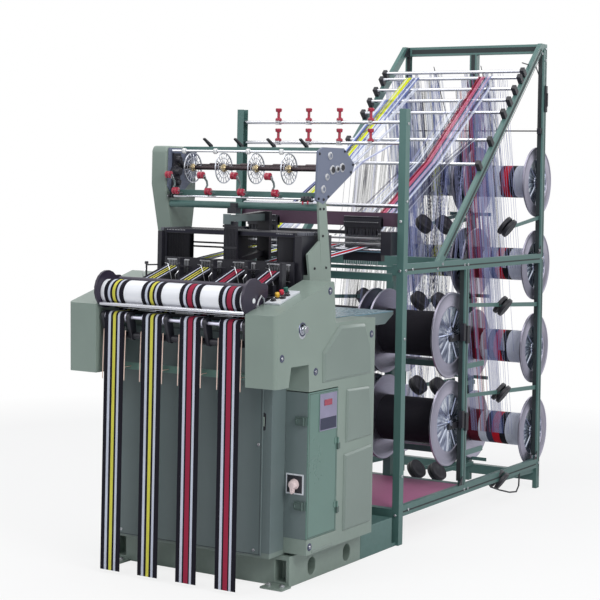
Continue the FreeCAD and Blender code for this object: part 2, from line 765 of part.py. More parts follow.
needles = []
for x in head_centres(REED_PITCH):
    x_side = x + REED_PITCH / 2 - 6
    arm = profile_z(FELL_Z + 32, FELL_Z + 38, [
        (x_side - 8, 20), (x_side + 8, 20), (x_side + 8, 56), (x_side - 40, 88),
        (x_side - 46, 82), (x_side - 8, 50)])
    needles.append(arm)


reed_half = head_centres(REED_PITCH)[-1] + REED_PITCH / 2 - 12


def reed_bearing():
    """Block on the body top that carries one end of the reed's rocking shaft."""
    shaft_y = REED_Y + REED_THICKNESS / 2
    inner = reed_half - REED_BEARING
    block = box(inner, reed_half, shaft_y - 14, GUIDE_FRONT, BODY_TOP, REED_PIVOT_Z + 14)
    return block.cut(rod_x(inner, reed_half, shaft_y, REED_PIVOT_Z, REED_SHAFT_R + RUN_GAP))


save("weaving_bed", [fused(posts + needles)] + both_sides(reed_bearing()))


def reed():
    half = reed_half
    rear = REED_Y + REED_THICKNESS
    frame = box(-half, half, REED_Y, rear, REED_BOTTOM, REED_TOP)
    cuts = []
    for x in head_centres(REED_PITCH):
        for i in range(REED_DENTS):
            gap = (REED_TAPE_WIDTH + 14) / REED_DENTS
            left = x - REED_TAPE_WIDTH / 2 - 7 + gap * i
            cuts.append(box(left + 1, left + gap - 1, REED_Y, rear, REED_WINDOW_BOTTOM,
                            REED_WINDOW_TOP))
    frame = frame.cut(cuts)
    swords = both_sides(box(half - 46, half - 30, REED_Y, rear, REED_PIVOT_Z - 6, REED_BOTTOM))
    shaft = rod_prism(-half, half, REED_Y + REED_THICKNESS / 2, REED_PIVOT_Z, REED_SHAFT_R)
    return fused([frame, shaft] + swords)


save("reed_batten", [reed()])


# ---------------------------------------------------------------- heald frames and guides
plate_in = PLATE_OUT - PLATE_THICKNESS


def heald_frame(index):
    y = HEALD_FIRST + index * HEALD_PITCH
    frame = box(HEALD_LEFT, HEALD_RIGHT, y, y + HEALD_THICKNESS, HEALD_BOTTOM, HEALD_TOP)
    window = box(HEALD_LEFT + HEALD_END, HEALD_RIGHT - HEALD_END, y, y + HEALD_THICKNESS,
                 HEALD_BOTTOM + HEALD_BAR, HEALD_TOP - HEALD_BAR)
    return frame.cut(window)


save("heald_frames_odd", [heald_frame(i) for i in range(0, HEALD_COUNT, 2)])
save("heald_frames_even", [heald_frame(i) for i in range(1, HEALD_COUNT, 2)])

heald_rear = HEALD_FIRST + HEALD_COUNT * HEALD_PITCH
guide_top = HEALD_TOP + HEALD_TRAVEL + 16
left_guide = box(-PLATE_OUT, HEALD_LEFT - SEAT_GAP, GUIDE_FRONT + 6, heald_rear + 6,
                 housing_top + 2, HEALD_TOP - 12)
right_guide = box(HEALD_RIGHT + SEAT_GAP, plate_in - 20, GUIDE_FRONT + 6, heald_rear + 6,
                  BODY_TOP, HEALD_TOP - 12)
column = box(-GUIDE_HALF, GUIDE_HALF, heald_rear + 14, heald_rear + 34, BODY_TOP, guide_top + 40)
upper_arm = profile_x(-24, 6, [
    (GUIDE_FRONT - 6, guide_top), (heald_rear + 14, guide_top), (heald_rear + 14, guide_top + 40),
    (GUIDE_FRONT + 70, guide_top + 26), (GUIDE_FRONT - 6, guide_top + 26)])
front_guide = box(-GUIDE_HALF, GUIDE_HALF, GUIDE_FRONT, GUIDE_FRONT + 14, HEALD_BOTTOM + 22, guide_top)
lower_arm = profile_x(-24, 6, [
    (HEALD_FIRST + 18, FELL_Z + 6), (heald_rear + 14, FELL_Z + 44),
    (heald_rear + 14, FELL_Z + 66), (HEALD_FIRST + 18, FELL_Z + 34)])
save("harness_guides", [left_guide, right_guide, fused([column, upper_arm, lower_arm, front_guide])])


# ---------------------------------------------------------------- head
head_top = BODY_TOP + HEAD_TOP
plate_outline = lifted([(215, HEAD_TOP - 17), (252, HEAD_TOP), (426, HEAD_TOP), (518, 634), (496, 593),
                        (261, 468), (206, 484)])
head_plate = profile_x(plate_in, PLATE_OUT, plate_outline)
bosses = [rod_prism(PLATE_OUT, PLATE_OUT + 4, y, z, r) for y, z, r in (
    (309, head_top - 34, 14), (287, head_top - 121, 12), (FEED_Y, FEED_Z, 17), (IDLER_Y, IDLER_Z, 17),
    (258, head_top - 171, 14))]
save("head_plate_right", [fused([head_plate] + bosses)])

leg = profile_x(plate_in, PLATE_OUT, lifted([(223, LEG_TOP), (284, LEG_TOP - 6), (335, LEG_FOOT),
                                             (257, LEG_FOOT)]))
leg = leg.cut(head_plate)
gusset = profile_x(plate_in, PLATE_OUT, lifted([(257, LEG_FOOT), (165, LEG_FOOT), (147, LEG_FOOT + 85),
                                                (240, LEG_FOOT + 137)]))
pedestal = box(plate_in - 20, PLATE_OUT, 165, 335, BODY_TOP, BODY_TOP + LEG_FOOT)
pedestal = pedestal.cut(profile_x(HOUSING_IN, COVER_OUT, [
    (HOUSING_BACK, housing_top), (HOUSING_BACK + 13, housing_top - 3), (HOUSING_BACK + 32, BODY_TOP),
    (HOUSING_BACK, BODY_TOP)]))
save("head_leg_right", [fused([leg, gusset, pedestal])])

cover_outline = lifted([(210, HEAD_TOP), (198, HEAD_TOP - 21), (198, HEAD_TOP - 164), (272, 255),
                        (272, 0), (400, 0), (400, 309), (426, 479), (426, HEAD_TOP)])
save("head_cover_left", [profile_x(-HEAD_COVER_OUT, -PLATE_OUT, cover_outline)])

tie_front, tie_rear = TOP_TIE_Y
top_tie = box(-PLATE_OUT, plate_in, tie_front, tie_rear, head_top - TOP_TIE_HEIGHT, head_top)
flat_bar = box(-PLATE_OUT, plate_in, FLAT_BAR_Y[0], FLAT_BAR_Y[1], head_top - 214, head_top - 186)
tube = rod_prism(-PLATE_OUT, plate_in, TUBE_Y, BODY_TOP + TUBE_LIFT, TUBE_R)
levers = []
for x in CLAMP_LEVER_X:
    levers.append(profile_x(x - 4, x + 4, [
        (tie_front - 26, head_top + 31), (tie_front - 20, head_top + 36), (tie_rear, head_top + 6),
        (tie_rear, head_top), (tie_rear - 12, head_top)]))
save("head_bars", [fused([top_tie] + levers), flat_bar, tube.cut(leg)])
eye_z = head_top - TOP_TIE_HEIGHT
eye_rod = prism_x(-PLATE_OUT, plate_in, EYE_ROD_Y, eye_z, 5, 8)
eyes = [prism_x(x - 5, x + 5, EYE_ROD_Y, eye_z, 10, 8) for x in EYE_X]
thin_z = BODY_TOP + THIN_ROD_LIFT
thin_rod = prism_x(-PLATE_OUT, plate_in, THIN_ROD_Y, thin_z, 4, 8)
collars = [prism_x(x, x + 12, THIN_ROD_Y, thin_z, 10, 8) for x in COLLAR_X]
save("head_rods", [fused([eye_rod] + eyes), fused([thin_rod] + collars)])

feed = [prism_x(-PLATE_OUT + SEAT_GAP, plate_in - SEAT_GAP, FEED_Y, FEED_Z, FEED_SHAFT_R, 10)]
for x in FEED_DISC_X:
    feed.append(prism_x(x - FEED_DISC_WIDTH / 2, x + FEED_DISC_WIDTH / 2, FEED_Y, FEED_Z, FEED_R, 24))
    feed.append(prism_x(x - 12, x + 12, FEED_Y, FEED_Z, 16, 10))
save("feed_shaft", [fused(feed)])
save("idler_shaft", [rod_prism(-PLATE_OUT + SEAT_GAP, plate_in - SEAT_GAP, IDLER_Y, IDLER_Z, IDLER_R)])

tensioners = []
for x in TENSIONER_X:
    arm_x0 = x - 20
    arm = profile_x(arm_x0, arm_x0 + 5, lifted([
        (266, 503), (214, 503), (208, 519), (222, 545), (206, 563), (196, 579), (184, 579), (190, 559),
        (208, 541), (192, 519), (200, 493), (266, 493)]))
    low_knob = prism_x(arm_x0 + 5, arm_x0 + 5 + KNOT_LENGTH, 198, BODY_TOP + 509, KNOT_R, 10)
    high_knob = prism_x(arm_x0 - KNOT_LENGTH, arm_x0, 190, BODY_TOP + 575, KNOT_R, 10)
    tensioners.append(fused([arm, low_knob, high_knob]))
save("tensioners", tensioners)


# ---------------------------------------------------------------- creel
post_in = CREEL_HALF
post_out = CREEL_HALF + FRONT_POST_WIDTH


def channel_post(x0, x1, y0, y1, z0, z1, mouth):
    """Strut channel; its open side looks towards -X, +X or -Y."""
    t = POST_WALL
    whole = box(x0, x1, y0, y1, z0, z1)
    if mouth == "-x":
        hollow = box(x0, x1 - t, y0 + t, y1 - t, z0, z1)
    elif mouth == "+x":
        hollow = box(x0 + t, x1, y0 + t, y1 - t, z0, z1)
    else:
        hollow = box(x0 + t, x1 - t, y0, y1 - t, z0, z1)
    return whole.cut(hollow)


rail_in = CREEL_HALF - RAIL
front_post = channel_post(post_in, post_out, CREEL_FRONT, CREEL_FRONT + POST, 0,
                          FRONT_POST_TOP, "-x")
rear_post = channel_post(rail_in, CREEL_HALF, CREEL_REAR, CREEL_REAR + POST, 0,
                         REAR_POST_TOP, "-x")
centre_post = box(-POST / 2, POST / 2, CREEL_REAR, CREEL_REAR + POST, 0,
                  REAR_POST_TOP - RAIL_HEIGHT)
save("creel_posts", both_sides(front_post) + both_sides(rear_post) + [centre_post])

low_rail = box(rail_in, CREEL_HALF, CREEL_FRONT, CREEL_REAR, BOTTOM_RAIL_Z,
               BOTTOM_RAIL_Z + RAIL_HEIGHT)
mid_rail = box(rail_in, CREEL_HALF, CREEL_FRONT, CREEL_REAR, MID_RAIL_Z, MID_RAIL_Z + RAIL_HEIGHT)
mid_post = box(rail_in, CREEL_HALF, MID_POST, MID_POST + POST, BOTTOM_RAIL_Z + RAIL_HEIGHT, MID_RAIL_Z)
slope_start_z = MID_RAIL_Z + RAIL_HEIGHT
slope_top_y = CREEL_REAR - SLOPE_SETBACK
slope_ratio = (REAR_POST_TOP - slope_start_z) / (slope_top_y - SLOPE_START)
slope_low_z = slope_start_z + (CREEL_REAR - SLOPE_START) * slope_ratio - SLOPE_DEPTH
slope_rail = profile_x(rail_in, CREEL_HALF, [
    (SLOPE_START, slope_start_z), (slope_top_y, REAR_POST_TOP), (CREEL_REAR, REAR_POST_TOP),
    (CREEL_REAR, slope_low_z), (SLOPE_START + SLOPE_DEPTH / slope_ratio, slope_start_z)])
side_rails = []
for piece in (low_rail, mid_rail, mid_post, slope_rail):
    side_rails += both_sides(piece)

top_rail = box(-rail_in, rail_in, CREEL_REAR, CREEL_REAR + POST, REAR_POST_TOP - RAIL_HEIGHT,
               REAR_POST_TOP)
low_cross = box(POST / 2, rail_in, CREEL_REAR, CREEL_REAR + POST, REAR_CROSS_Z,
                REAR_CROSS_Z + RAIL_HEIGHT)
mid_low = box(-rail_in, rail_in, MID_POST, MID_POST + POST, BOTTOM_RAIL_Z, BOTTOM_RAIL_Z + RAIL_HEIGHT)
mid_high = box(-rail_in, rail_in, MID_POST, MID_POST + POST, MID_RAIL_Z, MID_RAIL_Z + RAIL_HEIGHT)
mid_centre = box(-POST / 2, POST / 2, MID_POST, MID_POST + POST, BOTTOM_RAIL_Z + RAIL_HEIGHT, MID_RAIL_Z)
front_low = box(-rail_in, rail_in, CREEL_FRONT, CREEL_FRONT + POST, BOTTOM_RAIL_Z,
                BOTTOM_RAIL_Z + RAIL_HEIGHT)
cross_high = box(-rail_in, rail_in, CREEL_FRONT, CREEL_FRONT + 12, MID_RAIL_Z + 21, MID_RAIL_Z + 37)
cross_low = box(-rail_in, rail_in, CREEL_FRONT, CREEL_FRONT + POST, MID_RAIL_Z - 26, MID_RAIL_Z + 6)
save("creel_rails", side_rails + both_sides(low_cross) + [
    top_rail, mid_low, mid_high, mid_centre, front_low, cross_high, cross_low])

board = box(-rail_in, rail_in, CREEL_FRONT + POST, MID_POST, BOTTOM_RAIL_Z + RAIL_HEIGHT - 12,
            BOTTOM_RAIL_Z + RAIL_HEIGHT)
save("floor_board", [board])

# rods that carry the warp sheets down the slope, each in a clamp on the sloping rail
rod_places = [(y, slope_start_z + (y - SLOPE_START) * slope_ratio + GUIDE_ROD_LIFT)
              for y in GUIDE_ROD_Y]
guide_rods = []
clamps = []
lean = math.degrees(math.atan(slope_ratio))
for y, z in rod_places:
    guide_rods.append(rod_prism(-rail_in, rail_in, y, z, GUIDE_ROD_R))
    height = GUIDE_ROD_LIFT * math.cos(math.radians(lean))
    clamp = box(rail_in, CREEL_HALF, -14, 14, -height, GUIDE_ROD_R + 5)
    clamp.rotate(V(0, 0, 0), V(1, 0, 0), lean)
    clamp.translate(V(0, y, z))
    clamps += both_sides(clamp)
channel_in = post_out - POST_WALL   # rods and the guard reach into the front posts' channels
spool_rods = [rod_prism(-channel_in, channel_in, CREEL_FRONT + POST / 2, z, SPOOL_ROD_R)
              for z in SPOOL_ROD_Z]
save("creel_rods", guide_rods + spool_rods)
spools = []
for z in SPOOL_ROD_Z:
    for x in SPOOL_X:
        low = z + SPOOL_ROD_R
        y = CREEL_FRONT + POST / 2
        spools.append(fused([prism_z(low, low + 12, x, y, SPOOL_R, 8),
                             prism_z(low + 12, low + SPOOL_HEIGHT - 10, x, y, SPOOL_R * 0.45, 8),
                             prism_z(low + SPOOL_HEIGHT - 10, low + SPOOL_HEIGHT, x, y, SPOOL_R, 8)]))
save("weft_guides", spools)

guard_panel = box(-channel_in, channel_in, CREEL_FRONT + 20, CREEL_FRONT + 25, STOP_ROD_Z + 97,
                  STOP_ROD_Z + 158)
guard_rod = rod_prism(-channel_in, channel_in, CREEL_FRONT + 16, STOP_ROD_Z + 188, GUIDE_ROD_R)


# ---------------------------------------------------------------- stop motion
def comb(x0, x1, y0, y1, z_top, z_body, z_teeth, teeth):
    """Block with a row of drop wires hanging from its lower edge."""
    pitch = (x1 - x0) / teeth
    outline = [(x0, z_top)]
    for i in range(teeth):
        left = x0 + i * pitch
        outline += [(left, z_teeth), (left + pitch * 0.55, z_teeth)]
        if i < teeth - 1:
            outline += [(left + pitch * 0.55, z_body), (left + pitch, z_body)]
    outline += [(x1 - pitch * 0.45, z_body), (x1, z_body), (x1, z_top)]
    return profile_y(y0, y1, outline)


sheet_start = (REED_Y + REED_THICKNESS + 3, FELL_Z + 4)
sheet_end = (STOP_Y + 30, STOP_ROD_Z + STOP_ROD_R + SEAT_GAP + WARP_THICKNESS)


def under_sheet(y):
    """Height of a rod's centre that carries the warp sheet at this y."""
    ratio = (sheet_end[1] - sheet_start[1]) / (sheet_end[0] - sheet_start[0])
    sheet_z = sheet_start[1] + (y - sheet_start[0]) * ratio
    return sheet_z - STOP_ROD_R - SEAT_GAP - WARP_THICKNESS / 2


stop_in = CREEL_HALF - STOP_BRACKET
stop_top = STOP_ROD_Z + 76
stop_rods = [rod_prism(-stop_in, stop_in, STOP_Y + dy, under_sheet(STOP_Y + dy), STOP_ROD_R)
             for dy in (-46, -4, 30)]
bracket = box(stop_in, CREEL_HALF, STOP_Y - 60, CREEL_FRONT + POST, STOP_ROD_Z - 26, stop_top)
stop_blocks = [
    comb(157, 341, STOP_Y - 30, STOP_Y - 14, stop_top + 64, stop_top + 10, stop_top - 18, 10),
    comb(-350, -192, STOP_Y - 30, STOP_Y - 14, stop_top + 58, stop_top + 16, stop_top - 10, 9)]
stop_bar = box(-stop_in, stop_in, STOP_Y - 14, STOP_Y - 2, stop_top - 16, stop_top)
save("stop_motion", stop_rods + both_sides(bracket) + [
    guard_panel, guard_rod, fused([stop_bar] + stop_blocks)])


# ---------------------------------------------------------------- warp beams
def beam(x0, x1, y, z, flange_r, wound_r):
    """Barrel with two flanges, the wound yarn between them and a stub at each end."""
    stub0 = x0 + BEAM_END_GAP
    flange0 = x0 + CRADLE_THICKNESS + BEAM_END_GAP
    stub1 = x1 - BEAM_END_GAP
    flange1 = x1 - CRADLE_THICKNESS - BEAM_END_GAP
    return fused([
        prism_x(stub0, flange0, y, z, BEAM_STUB_R, 8),
        prism_x(flange0, flange0 + FLANGE_THICKNESS, y, z, flange_r, BEAM_SIDES),
        prism_x(flange0 + FLANGE_THICKNESS, flange1 - FLANGE_THICKNESS, y, z, wound_r, 20),
        prism_x(flange1 - FLANGE_THICKNESS, flange1, y, z, flange_r, BEAM_SIDES),
        prism_x(flange1, stub1, y, z, BEAM_STUB_R, 8)])


def cradle(x0, y, z, anchor_y):
    """Notched plate on a post that carries a beam stub."""
    drop = 16
    half = 26
    radius = BEAM_STUB_R + SEAT_GAP
    notch = radius * 1.25
    return profile_x(x0, x0 + CRADLE_THICKNESS, [
        (y - half, z), (y - half, z - radius - drop), (anchor_y, z - radius - drop), (anchor_y, z),
        (y + notch, z), (y, z - radius * 1.8), (y - notch, z)])


beam_in = POST / 2
beam_out = rail_in
places = []
for i, z in enumerate(REAR_BEAM_Z):
    places.append(("rear_%d" % (i + 1), CREEL_REAR + POST / 2, z, REAR_BEAM_R, REAR_WOUND_R,
                   CREEL_REAR + POST))
for i, z in enumerate(FRONT_BEAM_Z):
    places.append(("front_%d" % (i + 1), FRONT_BEAM_Y, z, FRONT_BEAM_R, FRONT_WOUND_R,
                   MID_POST + POST))
cradles = []
for label, y, z, flange_r, wound_r, anchor in places:
    right = beam(beam_in, beam_out, y, z, flange_r, wound_r)
    save("warp_beam_%s_right" % label, [right])
    save("warp_beam_%s_left" % label, [mirrored(right)])
    for x0 in (beam_in, beam_out - CRADLE_THICKNESS):
        cradles += both_sides(cradle(x0, y, z, anchor))
save("creel_brackets", clamps + cradles)

# brake levers of the rear beams, hinged on the posts, each with its counterweight
brakes = []
for z in REAR_BEAM_Z:
    for x, root in ((LEVER_THICKNESS / 2, CREEL_REAR), (rail_in, CREEL_REAR + POST)):
        high = z - REAR_BEAM_R - LEVER_GAP
        low = high - LEVER_DROP
        tip = CREEL_REAR - LEVER_LENGTH
        lever = profile_x(x - LEVER_THICKNESS, x, [
            (root, high), (root, high - LEVER_HEIGHT), (tip, low - LEVER_HEIGHT), (tip, low)])
        weight = prism_x(x - WEIGHT_THICKNESS, x, tip, low - LEVER_HEIGHT / 2, WEIGHT_R, 12)
        brakes.append(fused([lever, weight]))
save("brake_levers", brakes)

# ---------------------------------------------------------------- drive motor
motor_x = BASE_HALF - MOTOR_INSET
foot = box(motor_x - 70, motor_x + 70, base_rear + 40, base_rear + 180, SUB_BASE_HEIGHT,
           SUB_BASE_HEIGHT + 40)
drum = prism_y(base_rear + 45, base_rear + 230, motor_x, SUB_BASE_HEIGHT + 100, MOTOR_R, KNOB_SIDES)
save("drive_motor", [fused([foot, drum])])


# ---------------------------------------------------------------- warp sheets
def slab(x0, x1, start, end):
    """Flat sheet of threads from one (y, z) point to another, X limits given at both ends."""
    y0, z0 = start
    y1, z1 = end
    length = math.hypot(y1 - y0, z1 - z0)
    ny = -(z1 - z0) / length * WARP_THICKNESS / 2
    nz = (y1 - y0) / length * WARP_THICKNESS / 2
    return profile_x(x0, x1, [(y0 + ny, z0 + nz), (y1 + ny, z1 + nz), (y1 - ny, z1 - nz),
                              (y0 - ny, z0 - nz)])


sheet_in = beam_in + CRADLE_THICKNESS + FLANGE_THICKNESS + 24
sheet_out = beam_out - CRADLE_THICKNESS - FLANGE_THICKNESS - 24
over_rod = GUIDE_ROD_R + SEAT_GAP + WARP_THICKNESS / 2
rod_of_beam = (0, 1, 2, 3, 6, 5)


def climbing_sheets():
    """Sheets that leave the beams, tangent to the wound yarn, and climb to the guide rods."""
    found = []
    for (label, y, z, flange_r, wound_r, anchor), rod in zip(places, rod_of_beam):
        turn = -1 if label.startswith("rear") else 1
        rod_y_, rod_z_ = rod_places[rod]
        start, end = tangent((y, z, wound_r + SEAT_GAP + WARP_THICKNESS, turn),
                             (rod_y_, rod_z_, over_rod, 1))
        right = slab(sheet_in, sheet_out, start, end)
        found += both_sides(right)
    return found


def sloping_sheets():
    """Lanes of thread from each guide rod down to the stop motion."""
    found = []
    lane_width = (sheet_out - sheet_in) / len(rod_places)
    for n, (y, z) in enumerate(rod_places):
        target = (sheet_end[0] + 8, sheet_end[1] + 6 + n * 5, 0.0, 1)
        start, end = tangent((y, z, over_rod, 1), target)
        lane = sheet_in + n * lane_width
        found += both_sides(slab(lane + 1, lane + lane_width - 1, start, end))
    return found


head_sheets = []
for x in head_centres(REED_PITCH):
    half = REED_TAPE_WIDTH / 2
    head_sheets.append(slab(x - half, x + half, sheet_start, sheet_end))
save("warp_sheets", climbing_sheets() + sloping_sheets() + head_sheets)
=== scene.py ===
import json
import math
import random

import bmesh
import bpy
from mathutils import Matrix, Vector

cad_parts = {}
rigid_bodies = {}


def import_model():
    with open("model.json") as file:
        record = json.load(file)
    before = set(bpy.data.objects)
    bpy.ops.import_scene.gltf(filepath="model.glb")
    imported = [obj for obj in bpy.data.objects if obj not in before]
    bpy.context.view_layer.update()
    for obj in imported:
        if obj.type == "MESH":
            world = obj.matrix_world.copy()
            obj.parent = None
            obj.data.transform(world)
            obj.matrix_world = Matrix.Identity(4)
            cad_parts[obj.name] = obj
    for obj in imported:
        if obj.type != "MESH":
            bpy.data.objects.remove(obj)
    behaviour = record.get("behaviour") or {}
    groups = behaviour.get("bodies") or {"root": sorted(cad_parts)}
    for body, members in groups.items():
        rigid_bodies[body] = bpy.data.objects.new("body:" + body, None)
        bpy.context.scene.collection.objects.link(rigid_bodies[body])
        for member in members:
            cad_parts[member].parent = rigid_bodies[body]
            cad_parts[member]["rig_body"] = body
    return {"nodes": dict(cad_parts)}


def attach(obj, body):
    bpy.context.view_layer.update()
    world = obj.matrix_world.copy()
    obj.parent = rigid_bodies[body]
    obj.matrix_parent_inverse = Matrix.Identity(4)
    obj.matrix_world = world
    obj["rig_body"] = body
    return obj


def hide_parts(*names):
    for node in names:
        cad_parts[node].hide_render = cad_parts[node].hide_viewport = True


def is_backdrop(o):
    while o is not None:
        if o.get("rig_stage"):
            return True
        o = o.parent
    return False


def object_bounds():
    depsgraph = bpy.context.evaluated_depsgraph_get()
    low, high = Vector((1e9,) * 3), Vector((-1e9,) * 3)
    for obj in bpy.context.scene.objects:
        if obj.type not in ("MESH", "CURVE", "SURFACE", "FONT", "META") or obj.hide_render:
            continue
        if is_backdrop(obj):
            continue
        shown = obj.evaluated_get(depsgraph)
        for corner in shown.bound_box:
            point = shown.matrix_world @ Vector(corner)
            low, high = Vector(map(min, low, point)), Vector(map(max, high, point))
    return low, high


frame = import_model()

scene = bpy.context.scene
scene.view_settings.view_transform = "Standard"
cad_low, cad_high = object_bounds()


# ------------------------------------------------------------------ camera
# It stands level at the operator's right, well back with a long lens. The picture is cut from
# the lower part of the lens field, so the machine's uprights stay upright.
CAMERA_PLACE = (3.717, -5.471, 1.600)
CAMERA_YAW = 31.1
CAMERA_ROLL = 1.1


def linked(name, data):
    """An object for a camera, lamp or mesh, linked into the scene."""
    obj = bpy.data.objects.new(name, data)
    scene.collection.objects.link(obj)
    return obj


camera = linked("Camera", bpy.data.cameras.new("Camera"))
turn = (Matrix.Rotation(math.radians(CAMERA_YAW), 3, "Z") @ Matrix.Rotation(math.radians(90), 3, "X")
        @ Matrix.Rotation(math.radians(CAMERA_ROLL), 3, "Z"))
camera.matrix_world = Matrix.Translation(CAMERA_PLACE) @ turn.to_4x4()
camera.data.lens = 97.9
camera.data.sensor_width = 36.0
camera.data.shift_y = -0.2057
camera.data.clip_start = 0.05
camera.data.clip_end = 60.0
scene.camera = camera


# ------------------------------------------------------------------ floor and light
# A plain pale studio floor that keeps the soft shadow and fades out to white, and four panel
# lamps: a warm key at the right, a large one overhead, a cool front fill and a rim from behind.
FLOOR_DROP = 0.0015
FLOOR_HALF = 30.0
FLOOR_SHOWN = 0.80


def new_node(tree, kind, settings=None, inputs=None, output=0):
    """Add a node, its settings first and then the values or links of its sockets."""
    made = tree.nodes.new(kind)
    for key, value in (settings or {}).items():
        if key == "stops":
            elements = made.color_ramp.elements
            for i, (place, colour) in enumerate(value):
                stop = elements[i] if i < 2 else elements.new(place)
                stop.position = place
                stop.color = (*colour, 1.0)
        else:
            setattr(made.color_ramp if key == "interpolation" else made, key, value)
    for key, item in (inputs or {}).items():
        if isinstance(item, Value):
            tree.links.new(item.socket, made.inputs[key])
        else:
            made.inputs[key].default_value = item
    return Value(tree, made.outputs[output]) if made.outputs else None


class Value:
    """A wrapped socket: arithmetic on it adds Math nodes, so patterns read as formulas."""

    def __init__(self, tree, socket):
        self.tree = tree
        self.socket = socket

    def math(self, operation, *others):
        return new_node(self.tree, "ShaderNodeMath", {"operation": operation},
                        dict(enumerate((self,) + others)))

    def __add__(self, other):
        return self.math("ADD", other)

    def __mul__(self, other):
        return self.math("MULTIPLY", other)

    def __sub__(self, other):
        return self.math("SUBTRACT", other)

    def __rsub__(self, other):
        return self * -1.0 + other

    __radd__ = __add__
    __rmul__ = __mul__

    def between(self, low, high):
        return self.math("MAXIMUM", low).math("MINIMUM", high)


class Finish:
    """One material: fixed numbers sit on the shader, patterns come from nodes."""

    def __init__(self, name, **fixed):
        self.material = bpy.data.materials.new(name)
        self.material.use_nodes = True
        self.tree = self.material.node_tree
        self.tree.nodes.clear()
        self.output = self.tree.nodes.new("ShaderNodeOutputMaterial")
        self.shader = self.tree.nodes.new("ShaderNodeBsdfPrincipled")
        self.tree.links.new(self.shader.outputs[0], self.output.inputs[0])
        for key, value in fixed.items():
            self.shader.inputs[key.replace("_", " ").title().replace("Ior", "IOR")].default_value = value

    def node(self, kind, settings=None, inputs=None, output=0):
        return new_node(self.tree, kind, settings, inputs, output)

    def place(self, axis=None, kind="Object"):
        """Object coordinates, or one of their three components."""
        vector = self.node("ShaderNodeTexCoord", output=kind)
        if axis is None:
            return vector
        return self.node("ShaderNodeSeparateXYZ", inputs={0: vector}, output=axis)

    def uv(self, axis):
        return self.place(axis, "UV")

    def noise(self, scale, detail=3.0, vector=None):
        return self.node("ShaderNodeTexNoise", inputs={
            "Vector": vector or self.place(), "Scale": scale, "Detail": detail})

    def stretched(self, x, y, z):
        """Object coordinates scaled apart, for brushed and drawn surfaces."""
        return self.node("ShaderNodeMapping", inputs={"Vector": self.place(), "Scale": (x, y, z)})

    def ramp(self, factor, stops, interpolation="LINEAR"):
        return self.node("ShaderNodeValToRGB", {"interpolation": interpolation, "stops": stops},
                         {"Fac": factor})

    def blend(self, factor, a, b):
        """Mix of two colours, each a tuple or a wrapped socket."""
        a, b = ((*item, 1.0) if isinstance(item, tuple) else item for item in (a, b))
        return self.node("ShaderNodeMix", {"data_type": "RGBA"}, {0: factor, 6: a, 7: b}, 2)

    def scaled(self, colour, factor):
        return self.node("ShaderNodeVectorMath", {"operation": "SCALE"}, {0: colour, "Scale": factor})

    def drive(self, name, value):
        self.tree.links.new(value.socket, self.shader.inputs[name])

    def bump(self, height, strength, distance):
        self.drive("Normal", self.node("ShaderNodeBump", inputs={
            "Height": height, "Strength": strength, "Distance": distance}))


sheet = bpy.data.meshes.new("floor")
sheet.from_pydata([(x * FLOOR_HALF, y * FLOOR_HALF, -FLOOR_DROP)
                   for x, y in ((-1, -1), (1, -1), (1, 1), (-1, 1))], [], [(0, 1, 2, 3)])
floor = linked("floor", sheet)
f = Finish("floor", roughness=0.9, specular_ior_level=0.1)
f.drive("Base Color", f.blend(f.noise(1.2, 2.0), (0.86, 0.86, 0.87), (0.88, 0.88, 0.89)))
away = f.node("ShaderNodeVectorMath", {"operation": "DISTANCE"}, {0: f.place(), 1: (0.0, 1.0, 0.0)}, "Value")
seen = f.node("ShaderNodeLightPath", output="Is Camera Ray")
cover = f.node("ShaderNodeMixShader", inputs={
    0: seen * (away * 0.16 + 0.26).between(FLOOR_SHOWN, 1.0), 1: Value(f.tree, f.shader.outputs[0]),
    2: f.node("ShaderNodeEmission")})
f.tree.links.new(cover.socket, f.output.inputs[0])
sheet.materials.append(f.material)
floor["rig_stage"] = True

world = bpy.data.worlds.new("studio")
scene.world = world
world.use_nodes = True
tree = world.node_tree
tree.nodes.clear()
camera_ray, glossy_ray, clear_ray = (new_node(tree, "ShaderNodeLightPath", output="Is %s Ray" % kind)
                                     for kind in ("Camera", "Glossy", "Transmission"))
soft, white = (new_node(tree, "ShaderNodeBackground", inputs={"Color": colour, "Strength": strength})
               for colour, strength in (((0.93, 0.96, 1.0, 1.0), 0.40), ((1.0, 1.0, 1.0, 1.0), 1.0)))
backdrop = new_node(tree, "ShaderNodeMixShader", inputs={
    0: camera_ray.math("MAXIMUM", glossy_ray).math("MAXIMUM", clear_ray), 1: soft, 2: white})
new_node(tree, "ShaderNodeOutputWorld", inputs={0: backdrop})

for name, place, aim, size, power, colour in (
        ("key", (4.8, -1.6, 4.0), (0.0, 0.8, 0.9), (2.6, 2.2), 165.0, (1.0, 0.99, 0.97)),
        ("top", (-0.6, 0.2, 5.2), (0.0, 0.8, 0.8), (3.4, 3.4), 90.0, (1.0, 1.0, 1.0)),
        ("front", (-2.2, -5.0, 4.2), (0.0, 0.4, 1.0), (2.4, 2.2), 62.0, (0.97, 0.98, 1.0)),
        ("rim", (1.2, 6.2, 3.6), (0.0, 1.2, 1.1), (3.0, 2.2), 40.0, (0.95, 0.98, 1.0))):
    lamp = bpy.data.lights.new(name, "AREA")
    lamp.shape = "RECTANGLE"
    lamp.size, lamp.size_y = size
    lamp.energy = power
    lamp.color = colour
    obj = linked(name, lamp)
    facing = (Vector(aim) - Vector(place)).to_track_quat("-Z", "Y")
    obj.matrix_world = Matrix.Translation(place) @ facing.to_matrix().to_4x4()
    obj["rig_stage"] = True


# ------------------------------------------------------------------ base, body and covers
# Cast base, low frame and body casting with sheet covers, in sage and teal machine paint. They
# keep the source's forms with rounded paint edges; socket screws on blued washers hold the covers.
COVER_FACE = 495.0
FRONT_FACE = -135.0
TABLE_HALF = 384
TRAY_HALF = 388
